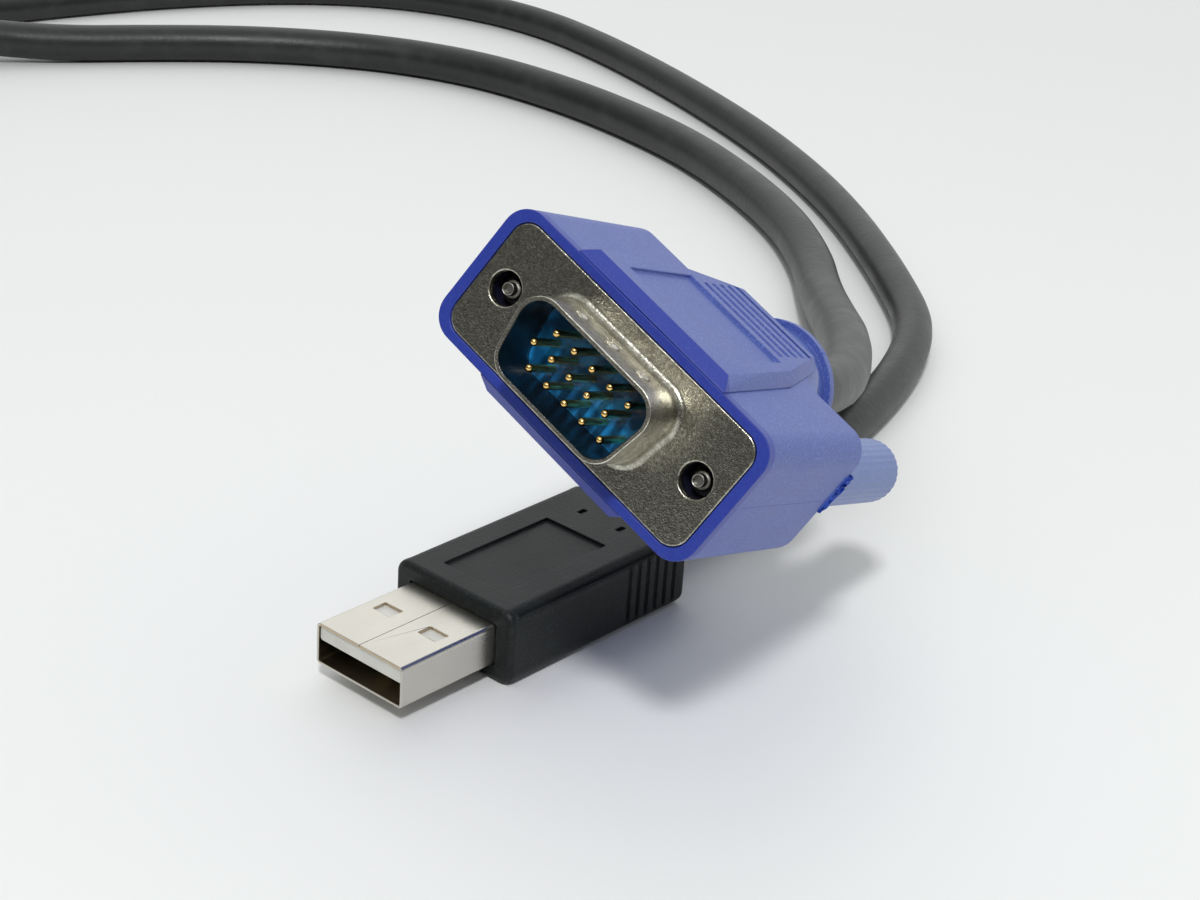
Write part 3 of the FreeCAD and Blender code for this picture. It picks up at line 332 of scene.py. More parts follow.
# ---------------------------------------------------------------------- finishes
@dataclass(frozen=True)
class MouldedPlastic:
    """Satin moulded plastic with a fine spark-eroded grain."""

    name: str
    colour: Colour
    pale: Colour
    roughness: float = 0.45
    grain: float = 0.00022
    grain_depth: float = 0.00002
    specular: float = 0.5
    cloud_size: float = 0.006
    cloud_share: float = 0.3
    speck_share: float = 0.75

    def material(self) -> bpy.types.Material:
        """Build the finish.

        Returns:
            The material.
        """
        paint = Paint(self.name)
        cloud = paint.noise(self.cloud_size, 3.0)
        speck = paint.noise(self.grain, 2.0)
        share = cloud * self.cloud_share + speck.ramp(0.52, 0.64) * self.speck_share
        tint = paint.blend(share.clamped(), self.colour, self.pale)
        paint.set(Base_Color=self.wear_and_shade(paint, tint),
                  Roughness=(cloud - 0.5) * 0.12 + (speck - 0.5) * 0.16 + self.roughness,
                  Specular_IOR_Level=self.specular)
        paint.bump(speck, self.grain_depth)
        return paint.material

    def wear_and_shade(self, paint: Paint, tint: bpy.types.NodeSocket) -> bpy.types.NodeSocket:
        """Return the colour with the marks of moulding and use and any painted shade; plain pieces
        have none.
        """
        return tint


@dataclass(frozen=True)
class PlugMoulding(MouldedPlastic):
    """The video plug's plastic, with painted shade on its front rim and in its screw bores, and a
    dark parting line.
    """

    seat: Seat = Seat((0.0, 0.0, 0.0))
    # Deep blue used for the rim's painted shade; the parting line takes it too.
    deep: Colour = (0.015, 0.035, 0.34)
    # Near-black painted shade for the insides of the screw bores.
    bore_shade: Colour = (0.004, 0.004, 0.008)
    bore_spacing: float = 0.02499
    bore_radius: float = 0.00175
    bore_blur: float = 0.0001
    rim_depth: float = 0.0012
    side: float = 0.0166
    blur: float = 0.0002
    parting: float = 0.0005
    parting_slope: tuple[float, float] = (0.0026, 0.0006)
    parting_edges: tuple[float, float] = (0.00004, 0.0001)

    def wear_and_shade(self, paint: Paint, tint: bpy.types.NodeSocket) -> bpy.types.NodeSocket:
        """Add the painted shade on the front rim and in the screw bores, and the dark parting line.

        Args:
            paint: The painter.
            tint: The plain colour.

        Returns:
            The marked colour.
        """
        own = paint.local(self.seat.matrix().inverted())
        x, y, z = (paint.axis(name, own) for name in "XYZ")
        # Painted shade: the strip of the front rim just behind the flange is darkened towards the
        # deep blue.
        rim_shade = z.ramp(-self.rim_depth - self.blur, -self.rim_depth)
        tint = paint.blend(rim_shade * 0.85, tint, self.deep)
        # The parting line on the ears' end faces is a dark joint in the same deep blue.
        right = x.ramp(self.side - 2 * self.blur, self.side - self.blur)
        run, fall = self.parting_slope
        height = self.parting - z.ramp(-run, 0.0) * fall
        line = right * (1.0 - abs(y - height).ramp(*self.parting_edges))
        tint = paint.blend(line * 0.75, tint, self.deep)
        # Painted shade: the insides of the screw bores are darkened almost to black.
        across = abs(x) - self.bore_spacing / 2
        from_axis = (across * across + y * y) ** 0.5
        inside = 1.0 - from_axis.ramp(self.bore_radius, self.bore_radius + self.bore_blur)
        return paint.blend(inside * 0.94, tint, self.bore_shade)


@dataclass(frozen=True)
class PlatedMetal:
    """Plated sheet or turned metal with slight staining."""

    name: str
    colour: Colour
    stain: Colour
    roughness: float = 0.25
    stain_size: float = 0.0016
    stain_share: float = 0.5
    pit: float = 0.0002
    pit_depth: float = 0.000004
    spark: float = 0.0
    spark_size: float = 0.00013
    spark_colour: Colour = (0.95, 0.93, 0.86)

    def material(self) -> bpy.types.Material:
        """Build the finish.

        Returns:
            The material.
        """
        paint = Paint(self.name)
        cloud = paint.noise(self.stain_size, 6.0)
        fine = paint.noise(self.pit, 3.0)
        share = (cloud.ramp(0.35, 0.7) * 0.7 + fine.ramp(0.45, 0.7) * 0.5) * self.stain_share
        tint = paint.blend(share.clamped(), self.colour, self.stain)
        sparks = paint.noise(self.spark_size, 1.0).ramp(0.63, 0.69) * self.spark
        tint = paint.blend(sparks, tint, self.spark_colour)
        paint.set(Base_Color=self.wear_and_shade(paint, tint), Metallic=1.0,
                  Roughness=cloud * 0.14 + fine * 0.1 + (self.roughness - 0.12))
        paint.bump(fine, self.pit_depth)
        return paint.material

    def wear_and_shade(self, paint: Paint, tint: bpy.types.NodeSocket) -> bpy.types.NodeSocket:
        """Return the colour with the marks of use and any painted shade; plain metal has none."""
        return tint


@dataclass(frozen=True)
class DrawnSheet(PlatedMetal):
    """Plated sheet whose drawn skirt shines and whose flat plate has dulled."""

    seat: Seat = Seat((0.0, 0.0, 0.0))
    dull: Colour = (0.16, 0.155, 0.12)
    shadow: Colour = (0.015, 0.02, 0.025)
    dull_share: float = 0.5
    dull_size: float = 0.0003
    skirt_start: float = 0.0002
    skirt_full: float = 0.0007
    inner_side: tuple[float, float] = (-0.0016, -0.0004)

    def wear_and_shade(self, paint: Paint, tint: bpy.types.NodeSocket) -> bpy.types.NodeSocket:
        """Dull the flat plate and darken the inside of the skirt.

        Args:
            paint: The painter.
            tint: The plain colour.

        Returns:
            The marked colour.
        """
        to_own = self.seat.matrix().inverted()
        own, facing = paint.local(to_own), paint.local_facing(to_own)
        raised = paint.axis("Z", own).ramp(self.skirt_start, self.skirt_full)
        grain = paint.noise(self.dull_size, 4.0).ramp(0.35, 0.65)
        flat = 1.0 - raised
        tint = paint.blend(flat * (grain * 0.8 + 0.5) * self.dull_share, tint, self.dull)
        outwards = (paint.axis("X", own) * paint.axis("X", facing)
                    + paint.axis("Y", own) * paint.axis("Y", facing))
        inside = raised * (1.0 - outwards.ramp(*self.inner_side))
        return paint.blend(inside * 0.92, tint, self.shadow)


@dataclass(frozen=True)
class FoldedSheet(PlatedMetal):
    """Plated shell with brass at the cut edges of its top wall and a tarnished inside."""

    brass: Colour = (0.62, 0.40, 0.16)
    tarnish: Colour = (0.16, 0.115, 0.045)
    top: float = 0.00635
    bottom: float = 0.00185
    sheet: float = 0.0003
    middle: float = -0.0936
    half_width: float = 0.0056
    inner_width: float = 0.00571
    margin: float = 0.00003

    def wear_and_shade(self, paint: Paint, tint: bpy.types.NodeSocket) -> bpy.types.NodeSocket:
        """Tint the cut edges and the inside.

        Args:
            paint: The painter.
            tint: The plain colour.

        Returns:
            The marked colour.
        """
        height, low, high = paint.axis("Z"), self.top - self.sheet, self.top - self.margin
        within = height.ramp(low, low + self.margin) * (1.0 - height.ramp(high - self.margin, high))
        across = abs(paint.axis("Y") - self.middle)
        edge = within * (1.0 - across.ramp(self.half_width, self.half_width + self.margin))
        tint = paint.blend(edge * 0.55, tint, self.brass)
        floor = self.bottom + self.sheet
        inner = (height.ramp(floor - 2 * self.margin, floor - self.margin)
                 * (1.0 - height.ramp(low - self.margin, low))
                 * (1.0 - across.ramp(self.inner_width, self.inner_width + self.margin)))
        return paint.blend(inner * 0.8, tint, self.tarnish)


@dataclass(frozen=True)
class CordJacket:
    """Black vinyl jacket, slightly uneven where the wires lie under it."""

    name: str
    colour: Colour
    worn: Colour
    roughness: float = 0.42
    dust_size: float = 0.004
    skin_size: float = 0.0009
    lay_size: float = 0.012
    lay_depth: float = 0.0003

    def material(self) -> bpy.types.Material:
        """Build the finish.

        Returns:
            The material.
        """
        paint = Paint(self.name)
        dust = paint.noise(self.dust_size, 5.0)
        skin = paint.noise(self.skin_size, 3.0)
        lay = paint.noise(self.lay_size, 1.0)
        paint.set(Base_Color=paint.blend(dust.ramp(0.45, 0.8) * 0.6, self.colour, self.worn),
                  Roughness=(dust - 0.5) * 0.25 + self.roughness)
        paint.bump(skin * 0.3 + lay, self.lay_depth, 0.5)
        return paint.material


@dataclass(frozen=True)
class PlainPlastic:
    """Smooth moulded plastic for small inner pieces."""

    name: str
    colour: Colour
    shade: Colour
    roughness: float = 0.35
    cloud_size: float = 0.002
    speck_size: float = 0.0003
    speck_depth: float = 0.000008

    def material(self) -> bpy.types.Material:
        """Build the finish.

        Returns:
            The material.
        """
        paint = Paint(self.name)
        cloud = paint.noise(self.cloud_size, 4.0)
        paint.set(Base_Color=paint.blend(cloud.ramp(0.3, 0.75), self.colour, self.shade),
                  Roughness=(cloud - 0.5) * 0.2 + self.roughness)
        paint.bump(paint.noise(self.speck_size, 2.0), self.speck_depth)
        return paint.material


@dataclass(frozen=True)
class ClearPlastic:
    """Tinted, half clear plastic with painted light: brighter towards its lower side and in
    patches, and a faint painted glow.
    """

    name: str
    colour: Colour
    # Colour of the painted light that the lower side and the patches are brightened towards.
    painted_light: Colour
    seat: Seat
    half_height: float = 0.0038
    glow: float = 0.05
    patch_size: float = 0.0021
    ripple_size: float = 0.0008
    ripple_depth: float = 0.00002

    def material(self) -> bpy.types.Material:
        """Build the finish.

        Returns:
            The material.
        """
        paint = Paint(self.name)
        own = paint.local(self.seat.matrix().inverted())
        # Painted light: the lower side and random patches are brightened towards the lit colour.
        low = 1.0 - paint.axis("Y", own).ramp(-self.half_height * 0.7, self.half_height * 0.6)
        patch = paint.noise(self.patch_size, 2.0, own).ramp(0.4, 0.62)
        tint = paint.blend((low * 0.7 + patch * 0.45).clamped() * (patch * 0.7 + 0.3),
                           self.colour, self.painted_light)
        # Painted glow: the tint is also given off as a faint emission.
        paint.set(Base_Color=tint, Emission_Color=tint, Roughness=patch * 0.1 + 0.16)
        paint.shader.inputs["Emission Strength"].default_value = self.glow
        paint.bump(paint.noise(self.ripple_size, 2.0), self.ripple_depth)
        return paint.material


@dataclass(frozen=True)
class CircuitBoard:
    """Green solder resist over copper tracks."""

    name: str
    resist: Colour
    track: Colour
    track_waves: float = 2600.0
    track_length: float = 0.006
    track_depth: float = 0.00003
    weave_size: float = 0.0007

    def material(self) -> bpy.types.Material:
        """Build the finish.

        Returns:
            The material.
        """
        paint = Paint(self.name)
        across = paint.math("SINE", paint.axis("Y") * self.track_waves)
        weave = paint.noise(self.weave_size, 2.0)
        lines = across.ramp(0.2, 0.5) * paint.noise(self.track_length, 0.0).ramp(0.48, 0.52)
        paint.set(Base_Color=paint.blend(lines * 0.6, self.resist, self.track),
                  Roughness=weave * 0.2 + 0.2)
        paint.bump(lines, self.track_depth)
        return paint.material


Finish = Union[MouldedPlastic, PlatedMetal, CordJacket, PlainPlastic, ClearPlastic,
               CircuitBoard]


# -------------------------------------------------------------------- the studio
@dataclass(frozen=True)
class Lamp:
    """A square soft lamp: its place, what it points at, its side and its power."""

    name: str
    place: Point
    target: Point
    width: float
    watts: float

    def hang(self) -> None:
        """Hang the lamp and point it."""
        data = bpy.data.lights.new(self.name, "AREA")
        data.size, data.energy = self.width, self.watts
        lamp = bpy.data.objects.new(self.name, data)
        aim = (Vector(self.target) - Vector(self.place)).to_track_quat("-Z", "Y")
        lamp.matrix_world = Matrix.Translation(self.place) @ aim.to_matrix().to_4x4()
        bpy.context.scene.collection.objects.link(lamp)


@dataclass
class Studio:
    """Camera, soft lamps and a pale floor."""

    eye: Point = (-0.169509, -0.238959, 0.122216)
    right: Point = (0.670923, -0.738969, 0.061536)
    up: Point = (0.279435, 0.328825, 0.902103)
    back: Point = (-0.686861, -0.588047, 0.427110)
    lens: float = 72.0
    sensor: float = 36.0
    sight: tuple[float, float] = (0.005, 50.0)
    floor_colour: Colour = (0.88, 0.89, 0.89)
    floor_pale: Colour = (0.9, 0.905, 0.905)
    floor_size: float = 8.0
    floor_gap: float = 0.00005
    floor_cloud: float = 0.3
    key: Lamp = Lamp("key", (-0.515, -0.505, 0.9), (-0.02, -0.1, 0.0), 0.13, 5.7)
    fill: Lamp = Lamp("fill", (0.55, 0.55, 0.75), (0.0, -0.1, 0.0), 0.8, 0.8)
    backdrop: tuple[float, float] = (0.93, 0.36)
    backdrop_light: float = 1.06
    backdrop_fade: float = 0.62
    overhead_light: float = 0.56
    room_light: float = 0.09
    sky_colour: Colour = (0.98, 1.0, 0.99)

    def build(self) -> None:
        """Set up everything that isn't the object."""
        self.camera()
        self.floor()
        self.key.hang()
        self.fill.hang()
        self.sky()
        bpy.context.scene.view_settings.view_transform = "Standard"
        LOG.info("studio ready")

    def camera(self) -> None:
        """Place the camera."""
        data = bpy.data.cameras.new("camera")
        data.lens = self.lens
        data.sensor_width = self.sensor
        data.clip_start, data.clip_end = self.sight
        camera = bpy.data.objects.new("camera", data)
        turn = Matrix((self.right, self.up, self.back)).transposed().to_4x4()
        camera.matrix_world = Matrix.Translation(self.eye) @ turn
        bpy.context.scene.collection.objects.link(camera)
        bpy.context.scene.camera = camera

    def floor(self) -> None:
        """Lay the pale floor."""
        bpy.ops.object.select_all(action="DESELECT")
        bpy.ops.mesh.primitive_plane_add(size=self.floor_size, location=(0, 0, -self.floor_gap))
        floor = bpy.context.object
        floor.name = "floor"
        paint = Paint("floor_paper")
        cloud = paint.noise(self.floor_cloud, 2.0)
        paint.set(Base_Color=paint.blend(cloud, self.floor_colour, self.floor_pale),
                  Roughness=0.55, Specular_IOR_Level=0.25)
        floor.data.materials.append(paint.material)

    def sky(self) -> None:
        """Light the room: a bright backdrop beyond the object, dark behind the camera."""
        world = bpy.data.worlds.new("room")
        bpy.context.scene.world = world
        world.use_nodes = True
        paint = Paint("room", world.node_tree)
        facing = paint.axis("X") * self.backdrop[0] + paint.axis("Y") * self.backdrop[1]
        height = paint.axis("Z")
        fade = 1.0 - height.ramp(0.15, 0.75) * self.backdrop_fade
        light = (facing.ramp(-0.25, 0.85) * self.backdrop_light * fade
                 + height.ramp(0.35, 0.95) * self.overhead_light + self.room_light)
        paint.join(paint.blend(light.clamped(), (0.0, 0.0, 0.0), self.sky_colour),
                   paint.glow.inputs["Color"])
        paint.glow.inputs["Strength"].default_value = 1.0


# ----------------------------------------------------------------- making things
class Edges(Enum):
    """How much of an edge is taken off where two faces meet."""

    CRISP = 0.00004
    BROKEN = 0.0001
    SOFT = 0.0002


class Bench:
    """The workbench: modelling steps, each used on one object at a time."""

    MERGE_DISTANCE = 0.000002
    FLAT_ANGLE = 0.5
    SHARP_ANGLE = 40.0
    RIDGE_SHARE = 0.45
    THREAD_STEPS = 36
    NORMAL_WEIGHT = 80

    @staticmethod
    def take(item: bpy.types.Object, *others: bpy.types.Object) -> bpy.types.Object:
        """Select these objects alone, with the first one active.

        Args:
            item: The active object.
            others: More objects to select.

        Returns:
            The active object.
        """
        bpy.ops.object.select_all(action="DESELECT")
        for each in (item, *others):
            each.select_set(True)
        bpy.context.view_layer.objects.active = item
        return item

    @staticmethod
    @contextmanager
    def editing(item: bpy.types.Object, mode: str = "VERT") -> Iterator[None]:
        """Stay in edit mode on one object, with everything selected at first.

        Args:
            item: The object.
            mode: What is selected: VERT, EDGE or FACE.

        Yields:
            Nothing.
        """
        Bench.take(item)
        bpy.ops.object.mode_set(mode="EDIT")
        bpy.ops.mesh.select_mode(type=mode)
        bpy.ops.mesh.select_all(action="SELECT")
        yield
        bpy.ops.object.mode_set(mode="OBJECT")

    @staticmethod
    def choose(item: bpy.types.Object, keep: Callable[[Vector], bool], mode: str = "VERT") -> None:
        """Select, from edit mode, the vertices or faces whose place passes a test.

        Args:
            item: The object being edited.
            keep: The test on a vertex, or on a face's middle.
            mode: VERT or FACE.
        """
        bpy.ops.mesh.select_mode(type=mode)
        bpy.ops.mesh.select_all(action="DESELECT")
        bpy.ops.object.mode_set(mode="OBJECT")
        places = item.data.vertices if mode == "VERT" else item.data.polygons
        for place in places:
            place.select = keep(place.co if mode == "VERT" else place.center)
        bpy.ops.object.mode_set(mode="EDIT")

    @staticmethod
    def fresh(name: str) -> bpy.types.Object:
        """Name the primitive that was just added.

        Args:
            name: The new name of the object and its mesh.

        Returns:
            The object.
        """
        made = bpy.context.object
        made.name = made.data.name = name
        return made

    @staticmethod
    def copy_of(node: str, name: str) -> bpy.types.Object:
        """Copy a CAD node's mesh into a piece of its own and merge its triangles.

        Args:
            node: The CAD node.
            name: The piece.

        Returns:
            The piece, without a material.
        """
        made = bpy.data.objects.new(name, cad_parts[node].data.copy())
        bpy.context.scene.collection.objects.link(made)
        made.data.materials.clear()
        with Bench.editing(made):
            bpy.ops.mesh.remove_doubles(threshold=Bench.MERGE_DISTANCE)
            bpy.ops.mesh.dissolve_limited(angle_limit=math.radians(Bench.FLAT_ANGLE))
            bpy.ops.mesh.normals_make_consistent(inside=False)
        return made

    @staticmethod
    def box(name: str, sides: Point, middle: Point) -> bpy.types.Object:
        """Add a block.

        Args:
            name: The block.
            sides: Its lengths along X, Y and Z.
            middle: Its middle.

        Returns:
            The block.
        """
        bpy.ops.object.select_all(action="DESELECT")
        bpy.ops.mesh.primitive_cube_add(size=1.0, location=middle, scale=sides)
        made = Bench.fresh(name)
        bpy.ops.object.transform_apply()
        return made

    @staticmethod
    def turned(name: str, profile: Sequence[tuple[float, float]],
               sides: int) -> bpy.types.Object:
        """Make a round piece about Z, as on a lathe.

        Args:
            name: The piece.
            profile: Radius and height of each ring, in order.
            sides: Vertices round each ring.

        Returns:
            The closed piece.
        """
        radius, height = profile[0]
        bpy.ops.object.select_all(action="DESELECT")
        bpy.ops.mesh.primitive_circle_add(vertices=sides, radius=radius, location=(0, 0, height))
        made = Bench.fresh(name)
        bpy.ops.object.transform_apply()
        with Bench.editing(made):
            for (wide, low), (radius, height) in zip(profile, profile[1:]):
                bpy.ops.mesh.extrude_region_move(
                    TRANSFORM_OT_translate={"value": (0, 0, height - low)})
                ratio = radius / wide
                bpy.ops.transform.resize(value=(ratio, ratio, 1.0),
                                         center_override=(0, 0, height))
        Bench.close(made)
        return made

    @staticmethod
    def close(item: bpy.types.Object) -> None:
        """Fill the open ends and turn every face outwards.

        Args:
            item: The piece.
        """
        with Bench.editing(item):
            bpy.ops.mesh.fill_holes(sides=0)
            bpy.ops.mesh.select_all(action="SELECT")
            bpy.ops.mesh.normals_make_consistent(inside=False)

    @staticmethod
    def thread(name: str, radius: float, pitch: float, start: float,
               turns: int) -> bpy.types.Object:
        """Wind a three-sided ridge up a round core.

        Args:
            name: The ridge.
            radius: Middle of the ridge's section.
            pitch: Rise in one turn.
            start: Height of its lower end.
            turns: How often it goes round.

        Returns:
            The ridge.
        """
        bpy.ops.object.select_all(action="DESELECT")
        bpy.ops.mesh.primitive_circle_add(vertices=3, radius=pitch * Bench.RIDGE_SHARE,
                                          location=(radius, 0, start),
                                          rotation=(math.pi / 2, math.pi / 2, 0))
        made = Bench.fresh(name)
        bpy.ops.object.transform_apply()
        Bench.modify(made, "SCREW", axis="Z", angle=2 * math.pi, screw_offset=pitch,
                     iterations=turns, steps=Bench.THREAD_STEPS,
                     render_steps=Bench.THREAD_STEPS)
        Bench.close(made)
        return made

    @staticmethod
    def modify(item: bpy.types.Object, kind: str, **settings: Any) -> None:
        """Add a modifier, set it up and apply it.

        Args:
            item: The object.
            kind: The modifier's type.
            settings: Its properties.
        """
        Bench.take(item)
        modifier = item.modifiers.new(kind.lower(), kind)
        for key, value in settings.items():
            setattr(modifier, key, value)
        bpy.ops.object.modifier_apply(modifier=modifier.name)

    @staticmethod
    def break_edges(item: bpy.types.Object, edges: Edges, angle: float = SHARP_ANGLE,
                    segments: int = 2) -> None:
        """Round every sharp edge.

        Args:
            item: The object.
            edges: How much comes off.
            angle: Edges that turn by more than this, in degrees, are sharp.
            segments: Faces across each rounding.
        """
        Bench.modify(item, "BEVEL", width=edges.value, segments=segments, limit_method="ANGLE",
                     angle_limit=math.radians(angle), use_clamp_overlap=False,
                     miter_outer="MITER_ARC", harden_normals=False)

    @staticmethod
    def round_off(item: bpy.types.Object, edges: Edges, keep: Callable[[Vector], bool],
                  segments: int = 2) -> None:
        """Round the sharp edges whose middles pass a test.

        Args:
            item: The object.
            edges: How much comes off.
            keep: The test on an edge's middle.
            segments: Faces across each rounding.
        """
        with Bench.editing(item, "EDGE"):
            bpy.ops.mesh.select_all(action="DESELECT")
            bpy.ops.mesh.edges_select_sharp(sharpness=math.radians(Bench.SHARP_ANGLE))
            bpy.ops.object.mode_set(mode="OBJECT")
            ends = item.data.vertices
            for edge in item.data.edges:
                middle = (ends[edge.vertices[0]].co + ends[edge.vertices[1]].co) / 2
                edge.select = edge.select and keep(middle)
            bpy.ops.object.mode_set(mode="EDIT")
            bpy.ops.mesh.bevel(offset=edges.value, segments=segments, affect="EDGES",
                               clamp_overlap=False)

    @staticmethod
    def cut(item: bpy.types.Object, *cutters: bpy.types.Object) -> None:
        """Take other shapes out of a piece and clear them away.

        Args:
            item: The piece.
            cutters: The shapes.
        """
        for cutter in cutters:
            Bench.modify(item, "BOOLEAN", operation="DIFFERENCE", solver="EXACT", object=cutter)
            bpy.data.objects.remove(cutter, do_unlink=True)

    @staticmethod
    def join(name: str, pieces: Sequence[bpy.types.Object]) -> bpy.types.Object:
        """Make one object of several.

        Args:
            name: The joined object.
            pieces: What it is made of.

        Returns:
            The joined object.
        """
        Bench.take(pieces[0], *pieces[1:])
        bpy.ops.object.join()
        return Bench.fresh(name)

    @staticmethod
    def repeat(item: bpy.types.Object, shifts: Sequence[Point]) -> list[bpy.types.Object]:
        """Copy a piece to several places, each copy with its own mesh.

        Args:
            item: The first piece, which is used up.
            shifts: How far each copy moves.

        Returns:
            The copies.
        """
        copies = []
        for number, shift in enumerate(shifts, start=1):
            made = bpy.data.objects.new("%s_%d" % (item.name, number), item.data.copy())
            bpy.context.scene.collection.objects.link(made)
            made.data.transform(Matrix.Translation(shift))
            copies.append(made)
        bpy.data.objects.remove(item, do_unlink=True)
        return copies

    @staticmethod
    def settle(item: bpy.types.Object, place: Matrix) -> None:
        """Move a piece to its place and keep that place in its mesh.

        Args:
            item: The piece.
            place: Where it goes.
        """
        item.matrix_world = place
        Bench.take(item)
        bpy.ops.object.transform_apply(location=True, rotation=True, scale=True)

    @staticmethod
    def finish(item: bpy.types.Object, body: str, slot: str, material: bpy.types.Material,
               *nodes: str, smooth: float = 35.0) -> bpy.types.Object:
        """Dress a piece and hand it to the body that carries it.

        Args:
            item: The piece.
            body: The body that it rides on.
            slot: The name of its material slot; not used.
            material: Its finish.
            nodes: The CAD nodes that it stands for.
            smooth: Faces that meet at less than this angle in degrees are shaded as one.

        Returns:
            The piece.
        """
        Bench.take(item)
        bpy.ops.object.shade_smooth_by_angle(angle=math.radians(smooth))
        Bench.modify(item, "WEIGHTED_NORMAL", keep_sharp=True, weight=Bench.NORMAL_WEIGHT)
        bpy.ops.object.select_all(action="DESELECT")
        item.data.materials.clear()
        item.data.materials.append(material)
        if nodes:
            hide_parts(*nodes)
        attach(item, body)
        LOG.info("%s finished: %d faces on %s", item.name, len(item.data.polygons), body)
        return item


# ------------------------------------------------------------------- video plug
@dataclass
class VideoPlug:
    """The moulded plug: housing, flange with its D skirt, pins and thumbscrews."""

    seat: Seat
    housing: MouldedPlastic
    torn: MouldedPlastic
    knob: MouldedPlastic
    flange: PlatedMetal
    steel: PlatedMetal
    gold: PlatedMetal
    pin_radius: float = 0.00038
    pin_reach: float = 0.0053
    pin_tail: float = 0.0060
    pin_pitch: float = 0.00229
    pin_row: float = 0.00198
    pin_stagger: float = 0.25
    pin_nose: tuple[float, ...] = (0.0, 0.35, 0.7, 1.05, 1.35, 1.5)
    pin_sides: int = 20
    screw_spacing: float = 0.02499
    screw_radius: float = 0.00142
    screw_shank: float = 0.0011
    screw_tail: float = 0.0122
    screw_tip: float = 0.0005
    screw_sides: int = 40
    core_share: float = 0.78
    taper: float = 0.0017
    dog_radius: float = 0.00062
    dog_point: Outline = ((0.0002, 0.0009), (0.0, 0.0008), (0.0, 0.0001), (-0.00003, 0.00002),
                          (-0.00008, 0.0), (-0.00013, 0.00003), (-0.00016, 0.00012),
                          (-0.0002, 0.0005))
    dimple_radius: float = 0.0001
    thread_length: float = 0.0090
    thread_pitch: float = 0.000635
    thread_lead: float = 0.0003
    thread_turns: int = 11
    ear_depth: float = 0.0237
    ear_side: float = 0.01656
    rib_side: float = 0.0068
    rim_depth: float = 0.0020
    knob_radius: float = 0.0033
    knob_gap: float = 0.0002
    knob_end: float = 0.0460
    knob_dome: float = 0.0013
    knob_dome_steps: tuple[float, ...] = (18, 36, 54, 72, 86)
    knob_front: Outline = ((0.0006, 0.0), (0.0005, 0.0007), (0.0001, 0.0009), (0.0, 0.0012))
    knob_flutes: int = 30
    flute_start: float = 0.0010
    flute_share: float = 0.988
    sides_per_flute: int = 6
    flash_sides: Point = (0.00016, 0.0042, 0.0012)
    flash_height: float = 0.0014
    flash_root: float = 0.0001
    flash_ragged: float = 0.00035
    flash_short_from: float = -0.0003
    flash_short_share: float = 0.55

    def build(self) -> None:
        """Make every piece of the plug."""
        self.build_housing()
        self.build_flash()
        self.build_flange()
        self.build_pins()
        for number, side in ((1, -1.0), (2, 1.0)):
            body = "thumbscrew_%d" % number
            place = self.seat.matrix((side * self.screw_spacing / 2, 0.0, 0.0))
            self.build_screw(body, place)
            self.build_knob(body, place)

    def build_housing(self) -> None:
        """Copy the housing and round its edges, all but those round the ribs."""
        made = Bench.copy_of("video_housing", "housing")
        to_own = self.seat.matrix().inverted()

        def off_the_ribs(middle: Vector) -> bool:
            """Tell whether an edge lies away from the ribbed top and underside."""
            own = to_own @ middle
            return abs(own.y) < self.rib_side or own.z > -self.rim_depth

        Bench.round_off(made, Edges.BROKEN, off_the_ribs)
        Bench.finish(made, MAIN_BODY, "video_moulding", self.housing.material(), "video_housing")

    def build_flash(self) -> None:
        """Draw the ragged tongue of plastic that hangs from the back of one ear."""
        back, root = -self.ear_depth, self.flash_root
        tongue = Bench.box("flash", self.flash_sides,
                           (self.ear_side, self.flash_height, back - root))
        with Bench.editing(tongue):
            bpy.ops.mesh.subdivide(number_cuts=9, smoothness=0.0)
            Bench.choose(tongue, lambda place: place.z < back - 2 * root)
            bpy.ops.transform.vertex_random(offset=self.flash_ragged, uniform=1.0, normal=0.0,
                                            seed=4)
            Bench.choose(tongue, lambda place: place.y < self.flash_short_from)
            bpy.ops.transform.resize(value=(1.0, 1.0, self.flash_short_share),
                                     center_override=(0, 0, back))
        Bench.settle(tongue, self.seat.matrix())
        Bench.finish(tongue, MAIN_BODY, "video_moulding", self.torn.material(), smooth=20.0)

    def build_flange(self) -> None:
        """Copy the pressed flange and round its sheared edges and the skirt's lip."""
        made = Bench.copy_of("video_front_shell", "flange")
        Bench.break_edges(made, Edges.BROKEN, angle=30.0)
        Bench.finish(made, MAIN_BODY, "video_flange", self.flange.material(),
                     "video_front_shell")

    def build_pins(self) -> None:
        """Turn one pin with a rounded point and copy it to the fifteen places."""
        radius, top = self.pin_radius, self.pin_reach
        nose = [(radius * math.cos(angle), top - radius * (1 - math.sin(angle)))
                for angle in self.pin_nose]
        pin = Bench.turned("pin", [(radius, -self.pin_tail), *nose], self.pin_sides)
        stagger = self.pin_stagger
        shifts = [((column + offset) * self.pin_pitch, row * self.pin_row, 0.0)
                  for row, offset in ((1, stagger), (0, -stagger), (-1, stagger))
                  for column in range(-2, 3)]
        gold = self.gold.material()
        for number, made in enumerate(Bench.repeat(pin, shifts), start=1):
            Bench.settle(made, self.seat.matrix())
            Bench.finish(made, MAIN_BODY, "contact_gold", gold, "video_pin_%02d" % number)

